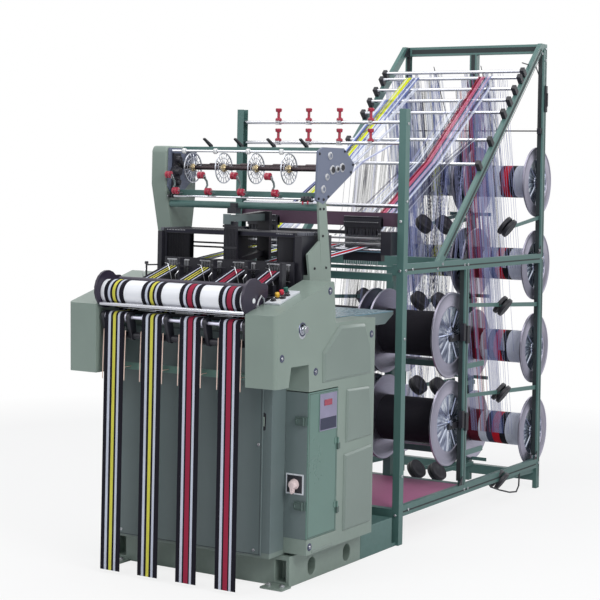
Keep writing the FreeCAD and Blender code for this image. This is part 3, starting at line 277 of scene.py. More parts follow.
TRAY_FRONT, TRAY_BACK = 499, 862
TRAY_FLOOR = 1017


def rgb(red, green, blue):
    """Linear colour of a picture colour."""
    def linear(value):
        value /= 255.0
        return value / 12.92 if value <= 0.04045 else ((value + 0.055) / 1.055) ** 2.4
    return linear(red), linear(green), linear(blue)


def shade(colour, factor):
    return tuple(min(1.0, part * factor) for part in colour)


def painted(name, colour, roughness=0.34, wear=0.5):
    """Sprayed machine paint: soft mottling, fine orange peel, and dust that gathers low down."""
    f = Finish(name, specular_ior_level=0.5)
    mottle = f.noise(3.2, 4.0)
    fine = f.noise(46.0, 3.0)
    tone = f.blend(mottle, shade(colour, 0.86), shade(colour, 1.13))
    low = f.place("Z").math("MULTIPLY_ADD", -1.6, 0.62).between(0.0, 1.0)
    dust = (low * fine * wear).math("MINIMUM", 0.6)
    f.drive("Base Color", f.blend(dust, tone, shade(colour, 0.55)))
    f.drive("Roughness", (mottle * 0.16 + fine * 0.10 + (roughness - 0.12)).math("MAXIMUM", 0.08))
    f.bump(f.noise(320.0, 2.0), 0.10, 0.0006)
    return f.material


def finished(obj, body, replaces=(), slot=None):
    """Hand a finished object to the frame: it rides on a body and stands for CAD nodes."""
    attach(obj, body)
    if replaces:
        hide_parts(*replaces)
    return obj


def rounding(obj, width, segments=2):
    modifier = obj.modifiers.new("rounding", "BEVEL")
    modifier.width = width * 0.001
    modifier.segments = segments
    modifier.limit_method = "ANGLE"
    modifier.angle_limit = math.radians(28)
    modifier.harden_normals = True
    modifier.use_clamp_overlap = True


def smoothed(mesh, angle):
    mesh.shade_smooth()
    mesh.set_sharp_from_angle(angle=math.radians(angle))


def flat_faces(node):
    """A CAD node's form, its corners merged and its facets joined into flat faces."""
    work = bmesh.new()
    work.from_mesh(frame["nodes"][node].data)
    bmesh.ops.remove_doubles(work, verts=work.verts, dist=0.00002)
    bmesh.ops.dissolve_limit(work, angle_limit=math.radians(1.5), verts=work.verts, edges=work.edges)
    return work


def dressed(node, material, bevel=1.5, segments=2, slot=None):
    """A CAD node's own form in a finish, with rounded edges."""
    source = frame["nodes"][node]
    mesh = source.data.copy()
    work = flat_faces(node)
    work.to_mesh(mesh)
    work.free()
    if mesh.has_custom_normals:
        mesh.attributes.remove(mesh.attributes["custom_normal"])
    mesh.materials.clear()
    mesh.materials.append(material)
    mesh.polygons.foreach_set("material_index", [0] * len(mesh.polygons))
    smoothed(mesh, 32)
    obj = linked(node + "_dressed", mesh)
    rounding(obj, bevel, segments)
    return finished(obj, source["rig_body"], [node], slot)


SAGE = painted("sage_paint", rgb(132, 147, 139), 0.33)
# The same sage made darker, for the body frame and the right cover's pressed panels.
SAGE_BODY = painted("sage_paint_body", rgb(123, 137, 131), 0.33)
SAGE_DARK = painted("sage_paint_panel", rgb(104, 118, 119), 0.36)
TEAL = painted("teal_paint", rgb(82, 116, 112), 0.36, 0.8)
for name, material, bevel, segments, slot in (
        ("base_casting", SAGE, 5.0, 3, "sage"), ("sub_base", TEAL, 3.0, 2, "teal"),
        ("foot_plates", SAGE, 1.2, 2, "sage"), ("body_frame", SAGE_BODY, 4.0, 2, "sage"),
        ("front_cover", SAGE_DARK, 2.0, 2, "sage"), ("side_cover_right", SAGE, 7.0, 3, "sage"),
        ("side_cover_left", SAGE, 7.0, 3, "sage")):
    dressed(name, material, bevel, segments, slot)


class Form:
    """Points in millimetres, faces, material slots and UV pairs, collected for one mesh."""

    def __init__(self):
        self.points = []
        self.faces = []
        self.slots = []
        self.uvs = []
        self.slot = 0

    def face(self, corners, uv=None):
        self.faces.append(corners)
        self.slots.append(self.slot)
        self.uvs.append(uv)

    def add(self, rows):
        start = len(self.points)
        self.points.extend(rows)
        return start

    def box(self, x0, x1, y0, y1, z0, z1):
        return self.prism([(x0, y0), (x1, y0), (x1, y1), (x0, y1)], "z", z0, z1)

    def prism(self, outline, axis, low, high):
        """Outline extruded along an axis: (y, z) for x, (x, z) for y and (x, y) for z."""
        n = len(outline)
        s = self.add([{"x": (level, a, b), "y": (a, level, b), "z": (a, b, level)}[axis]
                      for level in (low, high) for a, b in outline])
        self.face([s + i for i in range(n)])
        self.face([s + n + i for i in reversed(range(n))])
        for i in range(n):
            j = (i + 1) % n
            self.face([s + i, s + n + i, s + n + j, s + j])
        return self

    def lathe(self, origin, axis, profile, sides=24, loop=False, mapped=False):
        """Revolve (along, radius) pairs about an axis; a loop makes a ring.

        A mapped form keeps turn and radius as its UV map, and its ends stay open."""
        axis = Vector(axis).normalized()
        side = axis.orthogonal().normalized()
        other = axis.cross(side)
        origin = Vector(origin)
        rings = []
        for along, radius in profile:
            turns = [2 * math.pi * i / sides for i in range(sides if radius > 1e-6 else 1)]
            s = self.add([tuple(origin + axis * along + (side * math.cos(a) + other * math.sin(a)) * radius)
                          for a in turns])
            rings.append([s + i for i in range(len(turns))])
        if loop:
            rings.append(rings[0])
        for a, b, (_, ra), (_, rb) in zip(rings, rings[1:], profile, profile[1:] + profile[:1]):
            for i in range(sides if len(a) + len(b) > 2 else 0):
                j = (i + 1) % sides
                corners = [(a[i % len(a)], i, ra), (a[j % len(a)], i + 1, ra),
                           (b[j % len(b)], i + 1, rb), (b[i % len(b)], i, rb)]
                if len(a) == 1:
                    del corners[1]
                elif len(b) == 1:
                    del corners[2]
                self.face([c[0] for c in corners],
                          [(c[1] / sides, c[2] * 0.001) for c in corners] if mapped else None)
        if not loop and not mapped:
            for ring in (rings[0], rings[-1][::-1]):
                if len(ring) > 1:
                    self.face(ring)
        return self

    def rod(self, start, end, radius, sides=16, edge=0.0):
        start, end = Vector(start), Vector(end)
        length = (end - start).length
        profile = [(0, radius), (length, radius)]
        if edge:
            profile = [(0, radius - edge), (edge, radius), (length - edge, radius), (length, radius - edge)]
        return self.lathe(start, end - start, profile, sides)

    def tube(self, path, radius, sides=8):
        """Round wire through the points of a path, closed at its ends."""
        path = [Vector(p) for p in path]
        rings = []
        side = None
        for i, p in enumerate(path):
            ahead = path[min(i + 1, len(path) - 1)] - path[max(i - 1, 0)]
            ahead.normalize()
            if side is None:
                side = ahead.orthogonal().normalized()
            side = (side - ahead * side.dot(ahead)).normalized()
            other = ahead.cross(side)
            turns = [2 * math.pi * k / sides for k in range(sides)]
            s = self.add([tuple(p + (side * math.cos(a) + other * math.sin(a)) * radius) for a in turns])
            rings.append([s + k for k in range(sides)])
        for a, b in zip(rings, rings[1:]):
            for k in range(sides):
                j = (k + 1) % sides
                self.face([a[k], a[j], b[j], b[k]])
        self.face(rings[0][::-1])
        self.face(list(rings[-1]))
        return self


def metres(points):
    return [tuple(c * 0.001 for c in p) for p in points]


def outward(mesh, angle):
    """Turn the faces outwards, and smooth all edges that are blunter than the angle."""
    work = bmesh.new()
    work.from_mesh(mesh)
    bmesh.ops.recalc_face_normals(work, faces=work.faces)
    work.to_mesh(mesh)
    work.free()
    smoothed(mesh, angle)


def piece(name, form, materials, body="machine_frame", replaces=(), slot=None, bevel=0.0, angle=35.0,
          segments=2):
    """Make a form into a mesh object at the origin and hand it to the frame."""
    mesh = bpy.data.meshes.new(name)
    mesh.from_pydata(metres(form.points), [], form.faces)
    mesh.validate()
    for material in materials:
        mesh.materials.append(material)
    if len(mesh.polygons) == len(form.slots):
        mesh.polygons.foreach_set("material_index", form.slots)
    if any(form.uvs):
        layer = mesh.uv_layers.new(name="UVMap")
        for polygon, uv in zip(mesh.polygons, form.uvs):
            for k, loop in enumerate(polygon.loop_indices):
                layer.data[loop].uv = uv[k] if uv else (0.0, 0.0)
    outward(mesh, angle)
    obj = linked(name, mesh)
    if bevel:
        rounding(obj, bevel, segments)
    return finished(obj, body, replaces, slot)


def moulded(name, colour, roughness=0.42, grain=420.0):
    """Moulded plastic, rubber or black oxide with a fine grain."""
    f = Finish(name, specular_ior_level=0.45)
    cloud = f.noise(14.0, 3.0)
    f.drive("Base Color", f.blend(cloud, shade(colour, 0.80), shade(colour, 1.25)))
    f.drive("Roughness", cloud * 0.18 + (roughness - 0.09))
    f.bump(f.noise(grain, 2.0), 0.16, 0.0005)
    return f.material


# Seams of the front panel, dark strips on the body's front edges as painted shade, and pressed panels on the
# right cover
SEAM = moulded("panel_seam", (0.035, 0.045, 0.045), 0.6)
seams = Form()
for x0, x1, z0, z1 in ((-346, 346, 984, 986), (-346, 346, 133, 135), (-346, -344, 133, 986),
                       (344, 346, 133, 986)):
    seams.box(x0, x1, -135.4, -134.9, z0, z1)
piece("front_seams", seams, [SEAM])
# Flat strips in the dark panel paint over the body's front and side edges: painted shade, where these faces
# fall in shadow.
edges = Form()
for s in (-1, 1):
    edges.box(*sorted((s * 346.5, s * 391)), -131.5, -130.1, 142, 1018)
    edges.box(*sorted((s * 390.1, s * 391.2)), -130.1, -31, 142, 1018)
piece("body_edge_panels", edges, [SAGE_DARK], bevel=0.5)


def raised_panel(form, outline, height, slope):
    """Pressed panel on the right cover's outer face: an outline in (y, z) with sloping sides."""
    n = len(outline)
    inner = []
    for i in range(n):
        before, here, after = (Vector(outline[k % n]) for k in (i - 1, i, i + 1))
        ahead, onward = (here - before).normalized(), (after - here).normalized()
        inward = (Vector((-ahead.y, ahead.x)) + Vector((-onward.y, onward.x))).normalized()
        reach = slope / max(inward.dot(Vector((-ahead.y, ahead.x))), 0.3)
        inner.append(here + inward * reach)
    low = form.add([(COVER_FACE, y, z) for y, z in outline])
    top = form.add([(COVER_FACE + height, p.x, p.y) for p in inner])
    form.face([low + i for i in reversed(range(n))])
    form.face([top + i for i in range(n)])
    for i in range(n):
        j = (i + 1) % n
        form.face([low + i, low + j, top + j, top + i])


panels = Form()
for outline, height, slope in (
        ([(70, 790), (464, 792), (455, 905), (404, 1004), (198, 1010), (66, 913)], 10.0, 12),
        ([(262, 530), (480, 535), (452, 742), (262, 748)], 8.0, 9),
        ([(250, 176), (486, 176), (486, 300), (482, 500), (250, 487)], 8.0, 10),
        ([(7, 132), (177, 132), (177, 146), (7, 146)], 3.0, 5)):
    raised_panel(panels, outline, height, slope)
piece("cover_panels_right", panels, [SAGE_BODY], bevel=4.0, segments=3)

# Enamelled table sheet, and the open tray that reaches from it to the stop motion
TRAY_TOP = painted("tray_top_paint", rgb(96, 132, 148), 0.26, 0.2)
tray = Form().box(-TRAY_HALF, TRAY_HALF, TRAY_FRONT, TRAY_BACK, TRAY_FLOOR, TRAY_FLOOR + 4)
tray.slot = 1
for x in (-TRAY_HALF, TRAY_HALF - 4):
    tray.prism([(TRAY_FRONT, 968), (TRAY_FRONT, TRAY_FLOOR), (TRAY_BACK, TRAY_FLOOR),
                (TRAY_BACK, 1006), (786, 968)], "x", x, x + 4)
tray.box(-TABLE_HALF, TABLE_HALF, TRAY_BACK - 6, TRAY_BACK - 2, 1002, TRAY_FLOOR)
piece("rear_tray", tray, [TRAY_TOP, SAGE_DARK], bevel=1.2)
piece("table_sheet", Form().box(-TABLE_HALF, TABLE_HALF, -126, TRAY_FRONT, 1021.2, 1023.4), [TRAY_TOP],
      bevel=0.8)


# A tree of nodes that sets one small mesh at every point of another, turned to its normal
def repeat_tree():
    tree = bpy.data.node_groups.new("repeat", "GeometryNodeTree")
    for name, way, kind in (("Points", "INPUT", "Geometry"), ("Small piece", "INPUT", "Object"),
                            ("Size", "INPUT", "Float"), ("Material", "INPUT", "Material"),
                            ("Result", "OUTPUT", "Geometry")):
        tree.interface.new_socket(name, in_out=way, socket_type="NodeSocket" + kind)
    inside, outside, info, normal, align, onto, real, paint = (tree.nodes.new(kind) for kind in (
        "NodeGroupInput", "NodeGroupOutput", "GeometryNodeObjectInfo",
        "GeometryNodeInputNamedAttribute", "FunctionNodeAlignRotationToVector",
        "GeometryNodeInstanceOnPoints", "GeometryNodeRealizeInstances", "GeometryNodeSetMaterial"))
    normal.data_type = "FLOAT_VECTOR"
    normal.inputs["Name"].default_value = "facing"
    align.axis = "Z"
    for giver, given, taker, taken in (
            (inside, "Small piece", info, "Object"), (normal, "Attribute", align, "Vector"),
            (inside, "Points", onto, "Points"), (info, "Geometry", onto, "Instance"),
            (align, "Rotation", onto, "Rotation"), (inside, "Size", onto, "Scale"),
            (onto, "Instances", real, "Geometry"), (real, "Geometry", paint, "Geometry"),
            (inside, "Material", paint, "Material"), (paint, "Geometry", outside, "Result")):
        tree.links.new(giver.outputs[given], taker.inputs[taken])
    return tree


REPEAT = repeat_tree()


def repeated(name, small, places, material, body="machine_frame"):
    """Set the small form, modelled about the origin along +Z, at (point, facing) places."""
    mesh = bpy.data.meshes.new(name + "_small")
    mesh.from_pydata(metres(small.points), [], small.faces)
    outward(mesh, 35.0)
    small_object = linked(name + "_small", mesh)
    cloud = bpy.data.meshes.new(name + "_points")
    cloud.from_pydata(metres(p for p, facing in places), [], [])
    facing = cloud.attributes.new("facing", "FLOAT_VECTOR", "POINT")
    for i, (p, direction) in enumerate(places):
        facing.data[i].vector = direction
    holder = linked(name + "_points", cloud)
    modifier = holder.modifiers.new("repeat", "NODES")
    modifier.node_group = REPEAT
    wanted = {"Small piece": small_object, "Size": 1.0, "Material": material}
    for item in REPEAT.interface.items_tree:
        if item.name in wanted:
            modifier[item.identifier] = wanted[item.name]
    evaluated = holder.evaluated_get(bpy.context.evaluated_depsgraph_get())
    result = bpy.data.meshes.new_from_object(evaluated)
    result.name = name
    obj = linked(name, result)
    bpy.data.objects.remove(holder)
    bpy.data.objects.remove(small_object)
    if "facing" in result.attributes:
        result.attributes.remove(result.attributes["facing"])
    return finished(obj, body)


def screw_head(radius, height):
    """Socket screw: a chamfered head with a sunk socket."""
    floor = height - radius * 0.5
    return Form().lathe((0, 0, 0), (0, 0, 1), [
        (-1, 0), (-1, radius), (height - radius * 0.16, radius), (height, radius * 0.84),
        (height, radius * 0.5), (floor, radius * 0.45), (floor, 0)], 12)


def metal(name, colour, roughness=0.22, stretch=(2.0, 160.0, 160.0), depth=0.2):
    """Bright metal with drawn or turned marks along one axis."""
    f = Finish(name, metallic=1.0)
    marks = f.noise(5.0, 3.0, f.stretched(*stretch))
    cloud = f.noise(9.0, 2.0)
    f.drive("Base Color", f.blend(marks, shade(colour, 0.82), shade(colour, 1.08)))
    f.drive("Roughness", marks * 0.14 + cloud * 0.12 + (roughness - 0.11))
    f.bump(marks, depth, 0.0004)
    return f.material


# Socket screws of the covers and the front panel, the covers' on blued washers, and foot bolts
STEEL = metal("turned_steel", (0.56, 0.57, 0.60), 0.26)
WASHER = metal("blued_washer", (0.10, 0.11, 0.17), 0.3)
COVER_SPOTS = ((-236, 912), (17, 840), (119, 1150), (467, 955), (467, 205))
cover_places = [((s * COVER_FACE, y, z), (s, 0, 0)) for s, own in ((1, (-6, 160)), (-1, (467, 560)))
                for y, z in COVER_SPOTS + (own,)]
front_places = [((x, FRONT_FACE, z), (0, -1, 0)) for x in (-320, 320, 0) for z in (150, 970)]
front_places += [((x, FRONT_FACE, 560), (0, -1, 0)) for x in (-334, 334)]
repeated("cover_screws", screw_head(6.0, 4.0), cover_places + front_places, STEEL)
washers = Form()
for p, facing in cover_places:
    washers.lathe(p, facing, [(0.2, 5.6), (0.2, 15.5), (1.4, 15.0), (2.6, 12.0), (1.0, 9.4), (1.0, 5.6)],
                  loop=True)
piece("screw_washers", washers, [WASHER])
foot_places = [((s * (389 + dx), -80, 8.0), (0, 0, 1)) for s in (-1, 1) for dx in (-30, 30)]
repeated("foot_bolts", screw_head(11, 9), foot_places, STEEL)


def arc(a, b, radius, first, last, step):
    """Points of a round stretch about (a, b), from the first angle to short of the last."""
    return [(a + radius * math.cos(math.radians(d)), b + radius * math.sin(math.radians(d)))
            for d in range(first, last, step)]


# Recessed pull of the body's front strip: a grip rod over a flat black plate that is the recess's painted
# shade
PULL_X, PULL_Z = 355, 650
RUBBER = moulded("black_plastic", (0.016, 0.016, 0.022), 0.48)
# Flat black stadium on the face: painted shade of the pull's recess.
recess = Form().prism(arc(PULL_X, PULL_Z + 26, 9, 0, 180, 20) + arc(PULL_X, PULL_Z - 26, 9, 180, 360, 20),
                      "y", -131.6, -130.0)
piece("front_pull_recess", recess, [RUBBER], bevel=0.4)
piece("front_pull", Form().rod((PULL_X, -133.0, PULL_Z - 18), (PULL_X, -133.0, PULL_Z + 18), 3.0, 12, 1.0),
      [SAGE], bevel=0.4)


# ------------------------------------------------------------------ drive housing face and shaft
# The ground steel hand shaft ends in a hexagon for the crank handle. It turns in a round recess of
# the right cover, drawn flat: a dark ring is the recess's painted shade, a bright crescent its painted
# highlight.
SHAFT_Y, SHAFT_Z = -89, 1012
CHROME = metal("chrome_bar", (0.66, 0.67, 0.72), 0.14, depth=0.05)
ALUMINIUM = metal("cast_aluminium", (0.60, 0.62, 0.68), 0.34, (24.0, 24.0, 24.0), 0.25)
shaft = Form().lathe((465.3 - 24, SHAFT_Y, SHAFT_Z), (1, 0, 0), [
    (0, 0), (0, 12), (46, 12), (48, 15), (62, 15), (64, 12.6), (64, 6.2), (54, 6.2), (54, 0)], 32)
shaft.prism(arc(SHAFT_Y, SHAFT_Z, 15.6, 0, 360, 60), "x", 491, 515)
piece("hand_shaft_turned", shaft, [CHROME], "hand_shaft", ["hand_shaft"], "steel", bevel=0.6)
# Dark flat ring on the cover face: painted shade of the hand shaft's recess.
ring = Form().lathe((COVER_FACE + 0.1, SHAFT_Y, SHAFT_Z), (1, 0, 0),
                    [(0, 20.4), (0, 28), (1.4, 26.6), (1.4, 20.8)], 40, loop=True)
piece("hand_recess_ring", ring, [WASHER])
# Bright disc set low behind the dark ring, so only a crescent shows: painted highlight of the recess's lit
# lower edge.
recess_highlight = Form().lathe((COVER_FACE + 0.1, SHAFT_Y, SHAFT_Z - 12), (1, 0, 0),
                   [(0, 0), (0, 25), (0.9, 24), (0.9, 0)], 40)
piece("hand_recess_lip", recess_highlight, [ALUMINIUM])


# ------------------------------------------------------------------ electrical cabinet
# Folded steel case with black toggle latches and a pale plate for the rotary switch; a hinged
# teal door with a bare display plate, and behind it the mounting plate with its switchgear.
DOOR_FACE = 495.05
KNOB_X, KNOB_Z = 438.5, 403


def islands(node):
    """The separate solids of a CAD node, each as (low, high) corners in mm and its faces."""
    work = flat_faces(node)
    work.faces.ensure_lookup_table()
    seen = set()
    found = []
    for face in work.faces:
        if face.index in seen:
            continue
        group = [face]
        seen.add(face.index)
        stack = [face]
        while stack:
            for edge in stack.pop().edges:
                for other in edge.link_faces:
                    if other.index not in seen:
                        seen.add(other.index)
                        group.append(other)
                        stack.append(other)
        points = [v.co * 1000 for f in group for v in f.verts]
        low, high = (Vector([pick(p[k] for p in points) for k in range(3)]) for pick in (min, max))
        found.append((low, high, [[tuple(v.co * 1000) for v in f.verts] for f in group]))
    work.free()
    return found


def sorted_out(node, choose, bevel=1.0, slot=None, segments=2):
    """Dress a node of several solids in one finish, or in what choose(low, high) gives each."""
    groups = {}
    for low, high, faces in islands(node):
        material = choose(low, high) if callable(choose) else choose
        groups.setdefault(material.name, []).append(faces)
    for i, (name, solids) in enumerate(groups.items()):
        form = Form()
        for faces in solids:
            index = {}
            for corners in faces:
                keys = [tuple(round(c, 2) for c in corner) for corner in corners]
                for key, corner in zip(keys, corners):
                    if key not in index:
                        index[key] = form.add([corner])
                form.face([index[key] for key in keys])
        piece("%s_%d" % (node, i + 1), form, [bpy.data.materials[name]], frame["nodes"][node]["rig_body"],
              [node] if i == 0 else (), slot, bevel, segments=segments)


def case_finish(low, high):
    if high.y < -29 and high.x < 485 and low.z < 450 and high.z < 460 and high.x - low.x > 70:
        return PALE
    return LATCH if high.y < -29 or low.x > 494 else SAGE_DARK


PALE = moulded("pale_plastic", rgb(206, 210, 216), 0.36)
LATCH = painted("latch_paint", rgb(78, 96, 92), 0.34, 0.2)
DOOR = painted("door_paint", rgb(98, 128, 120), 0.3, 0.3)
sorted_out("electrical_cabinet", case_finish, 1.0, "sage")
dressed("cabinet_door", DOOR, 1.6, slot="teal")
BACK_PLATE = 397.0
gear = Form().box(BACK_PLATE - 2.7, BACK_PLATE, -12, 176, 215, 735)
gear.slot = 1
for y, z, wide, tall in ((0, 610, 46, 74), (56, 610, 46, 74), (112, 610, 46, 74), (0, 470, 62, 88),
                         (78, 470, 80, 88)):
    gear.box(BACK_PLATE, 440, y, y + wide, z, z + tall)
    gear.box(440, 452, y + 6, y + wide - 6, z + 18, z + tall - 18)
gear.slot = 2
for k in range(16):
    gear.box(BACK_PLATE, 430, k * 10.5, k * 10.5 + 9.5, 330, 372)
gear.box(BACK_PLATE, 432, -8, 170, 420, 446).box(BACK_PLATE, 432, -8, 170, 560, 586)
piece("cabinet_gear", gear, [STEEL, RUBBER, moulded("grey_duct", rgb(142, 146, 152), 0.45)], bevel=0.8)

# The door's display plate, its lower field, its red window and the line round its edge
lens = Finish("red_window", roughness=0.16, coat_weight=0.6)
lens.drive("Base Color", lens.blend(lens.noise(60.0), rgb(132, 26, 58), rgb(168, 40, 72)))
for name, sizes, material, bevel in (
        ("display_face", (497.1, 497.9, 52, 185, 602, 748),
         moulded("display_plate", rgb(136, 132, 158), 0.34), 0.4),
        ("display_lower_field", (498.0, 498.6, 56, 181, 606, 652),
         moulded("display_strip", rgb(34, 38, 66), 0.36), 0.3),
        ("display_window", (498.0, 500.2, 84, 144, 700, 724), lens.material, 0.9)):
    piece(name, Form().box(*sizes), [material], "cabinet_door", bevel=bevel)
door_line = Form()
for y0, y1, z0, z1 in ((-22, 188, 196, 197.4), (-22, 188, 754, 755.4), (-22, -20.6, 196, 755.4),
                       (186.6, 188, 196, 755.4)):
    door_line.box(DOOR_FACE, DOOR_FACE + 0.45, y0, y1, z0, z1)
piece("door_edge_line", door_line, [SEAM], "cabinet_door")
latches = Form()
for z in (321, 650):
    latches.box(440, 474, -42.5, -38.8, z - 10, z + 10)
    latches.rod((478, -41.5, z - 17), (478, -41.5, z + 17), 5.0, 12, 1.0)
    latches.rod((446, -43, z - 6), (446, -43, z + 6), 3.4, 10, 0.8)
piece("latch_handles", latches, [LATCH], bevel=0.8)

knob = Form().lathe((KNOB_X, -33.7, KNOB_Z), (0, -1, 0), [
    (0, 0), (0, 21), (3, 21), (5, 19), (18, 17.5), (24, 14), (26, 9), (26, 0)], 36)
knob.prism([(430, 403), (432, 372), (438.5, 366), (445, 372), (447, 403)], "y", -58, -40)
piece("switch_knob_moulded", knob, [moulded("knob_plastic", rgb(226, 206, 206), 0.3)], "switch_knob",
      ["switch_knob"], "pale", bevel=2.0)
dial = Form().box(KNOB_X - 34, KNOB_X + 34, -33.6, -33.0, KNOB_Z - 34, KNOB_Z + 34)
piece("switch_dial", dial, [RUBBER], bevel=0.4)


# ------------------------------------------------------------------ push buttons
# Moulded caps with black collars, in two rows on a pale plate that is screwed to the slanted
# housing top. The three low black ones are plain, and the yellow, red and green ones stand up.
SLOPE = math.radians(15.0)
PLATE_X, PLATE_RUN = 403, 202
BUTTON_STEP = 33


def on_slope(x, run, lift):
    """A point above the slanted top, run up from its front edge."""
    return (x, -284 + run * math.cos(SLOPE) - lift * math.sin(SLOPE),
            1074 + run * math.sin(SLOPE) + lift * math.cos(SLOPE))


up_slope = (0.0, -math.sin(SLOPE), math.cos(SLOPE))
dressed("button_plate", PALE, 1.2, slot="pale")
collars = Form()
for name, dx, place, height, colour, slot in (
        ("button_black_1", -12, -1.5, 5, None, "black_plastic"),
        ("button_yellow", -12, -0.5, 18, rgb(226, 178, 60), "yellow"),
        ("button_red", -12, 0.5, 18, rgb(196, 46, 66), "red"),
        ("button_green", -12, 1.5, 18, rgb(30, 92, 80), "green"),
        ("button_black_2", 12, -0.5, 5, None, "black_plastic"),
        ("button_black_3", 12, 0.5, 5, None, "black_plastic")):
    run = PLATE_RUN + place * BUTTON_STEP
    cap = Form().lathe(on_slope(PLATE_X + dx, run, 7.5), up_slope, [
        (-0.2, 0), (-0.2, 4.6), (4.3, 4.6), (4.3, 8.2), (5.0, 8.9), (4.3 + height - 2.4, 8.7),
        (4.3 + height - 0.6, 7.4), (4.3 + height, 5.0), (4.3 + height, 0)], 28)
    material = moulded(name.replace("button", "cap"), colour, 0.28) if colour else RUBBER
    piece(name + "_cap", cap, [material], name, [name], slot, angle=50)
    collars.lathe(on_slope(PLATE_X + dx, run, 7.6), up_slope,
                  [(0, 9.4), (0, 12.4), (1.6, 12.2), (3.0, 11.0), (3.0, 9.4)], 28, loop=True)
piece("button_collars", collars, [RUBBER])


# ------------------------------------------------------------------ take-up and delivery
# A cloth-covered white draw roller and a dark press roller between black end guards; below them
# a chromed bar, a return rod and the delivery roller, which turns in five cast arms.
GUARD_FACE = 344.8
ROLLER_START = -344.7
ROLLER_LENGTH = 689.4
TAKEUP = (-223, 1122)
TAKEUP_RADIUS = 50
PRESS = (-145, 1160)
PRESS_RADIUS = 20
RETURN = (-172, 1054)
RETURN_RADIUS = 7
DELIVERY = (-244, 1026)
DELIVERY_RADIUS = 20
HANG_X = (-276.0, -92.0, 92.0, 276.0)


def journalled(radius, rim, edge, stub):
    """Profile of a roller with a journal at each end and bevelled rims."""
    return [(-12, 0), (-12, stub), (0, stub), (0, rim), (edge, radius), (ROLLER_LENGTH - edge, radius),
            (ROLLER_LENGTH, rim), (ROLLER_LENGTH, stub), (ROLLER_LENGTH + 12, stub),
            (ROLLER_LENGTH + 12, 0)]


f = Finish("roller_cover", roughness=0.3, specular_ior_level=0.5)
rub = f.noise(8.0, 3.0, f.stretched(1.0, 30.0, 30.0))
f.drive("Base Color", f.blend(rub, (0.84, 0.86, 0.92), (0.93, 0.94, 0.97)))
f.drive("Roughness", rub * 0.2 + 0.22)
f.bump(f.noise(700.0, 2.0), 0.2, 0.0004)
BLACK = moulded("black_oxide", (0.020, 0.020, 0.028), 0.36)
VIOLET_BLACK = moulded("guard_black", rgb(44, 38, 56), 0.38)
sorted_out("takeup_guards", VIOLET_BLACK, 2.4, "black", 3)
piece("takeup_roller_covered",
      Form().lathe((ROLLER_START, *TAKEUP), (1, 0, 0), journalled(TAKEUP_RADIUS, 47, 2, 9.9), 64),
      [f.material], "takeup_roller", ["takeup_roller"], "roller")
piece("press_roller_turned",
      Form().lathe((ROLLER_START, *PRESS), (1, 0, 0), journalled(PRESS_RADIUS, 18.5, 1.5, 4.9), 40),
      [VIOLET_BLACK], "press_roller", ["press_roller"], "steel")
hubs = Form()
for s in (-1, 1):
    for place, r in ((TAKEUP, 24), (PRESS, 12)):
        hubs.lathe((s * GUARD_FACE, *place), (-s, 0, 0),
                   [(0.2, r * 0.45), (0.2, r), (-0.1, r), (-0.1, r * 0.45)], 28, loop=True)
piece("guard_hub_seats", hubs, [STEEL])
arms = Form()
pins = Form()
for x in (-338, -212, -28, 156, 338):
    arms.prism(arc(*DELIVERY, 22, -20, 181, 20) + arc(-225, 953, 19, 180, 341, 20), "x", x - 8, x + 8)
    pins.lathe((x + 8.2, *DELIVERY), (1, 0, 0), [(-0.4, 4), (-0.4, 8.5), (1.4, 8.5), (1.4, 4)], 20,
               loop=True)
arms.rod((-GUARD_FACE, -225, 953), (GUARD_FACE, -225, 953), 14, 32)
piece("delivery_arms_cast", arms, [BLACK], replaces=["delivery_arms"], slot="black", bevel=1.4)
piece("delivery_arm_pins", pins, [STEEL])
piece("guide_tie_bar", Form().box(-GUARD_FACE, GUARD_FACE, -194, -187, 812, 840),
      [painted("tie_bar_paint", rgb(122, 158, 148), 0.34, 0.2)], bevel=1.0)
piece("tape_return_rod", Form().rod((-GUARD_FACE, *RETURN), (GUARD_FACE, *RETURN), RETURN_RADIUS, 24),
      [CHROME])
low_roller = Form().lathe((-348, *DELIVERY), (1, 0, 0), [(0, 0), (0, 6.9), (696, 6.9), (696, 0)])
for x in HANG_X:
    low_roller.lathe((x - 52, *DELIVERY), (1, 0, 0), [
        (0, 0), (0, 18.5), (1.5, DELIVERY_RADIUS), (102.5, DELIVERY_RADIUS), (104, 18.5), (104, 0)], 36)
piece("delivery_roller_turned", low_roller, [metal("delivery_steel", (0.80, 0.80, 0.93), 0.46)],
      "delivery_roller", ["delivery_roller"], "steel")
piece("takeup_bar", Form().rod((-GUARD_FACE, -268, 1076), (GUARD_FACE, -268, 1076), 8.5, 32), [CHROME],
      replaces=["takeup_rods"], slot="chrome")
wires = Form()
for centre in HANG_X:
    for side in (-1, 1):
        x = centre + side * 53.5
        wires.tube([(x, -262, 975), (x, -265, 880), (x, -267, 786), (x - 3, -262, 776)], 1.9)
        wires.tube([(x - side * 10, -247, 826), (x - side * 16, -236, 826),
                    (x - side * 20, -193, 826)], 1.6)
piece("wire_guides", wires, [moulded("lacquered_wire", rgb(228, 200, 186), 0.3)])

# Bearing bracket inside the left guard, and the bent yoke in front of the buttons
bracket = Form().prism([(-262, 1090), (-262, 1160), (-214, 1172), (-196, 1150), (-196, 1090)], "x",
                       -372, -358)
bracket.lathe((-345.2, -238, 1140), (1, 0, 0), [(0, 0), (0, 13), (3.4, 13), (3.4, 5), (1, 5), (1, 0)])
piece("left_bearing_bracket", bracket, [TEAL], bevel=1.5)
yoke = Form().tube([(358, -206, 1092), (362, -198, 1122), (366, -186, 1140), (368, -172, 1128),
                    (368, -166, 1106)], 3.6)
yoke.lathe((358, -206, 1094), (1, 0, 0), [(0, 0), (0, 11), (7, 11), (7, 4), (3, 4), (3, 0)])
piece("yoke_bracket", yoke, [STEEL])


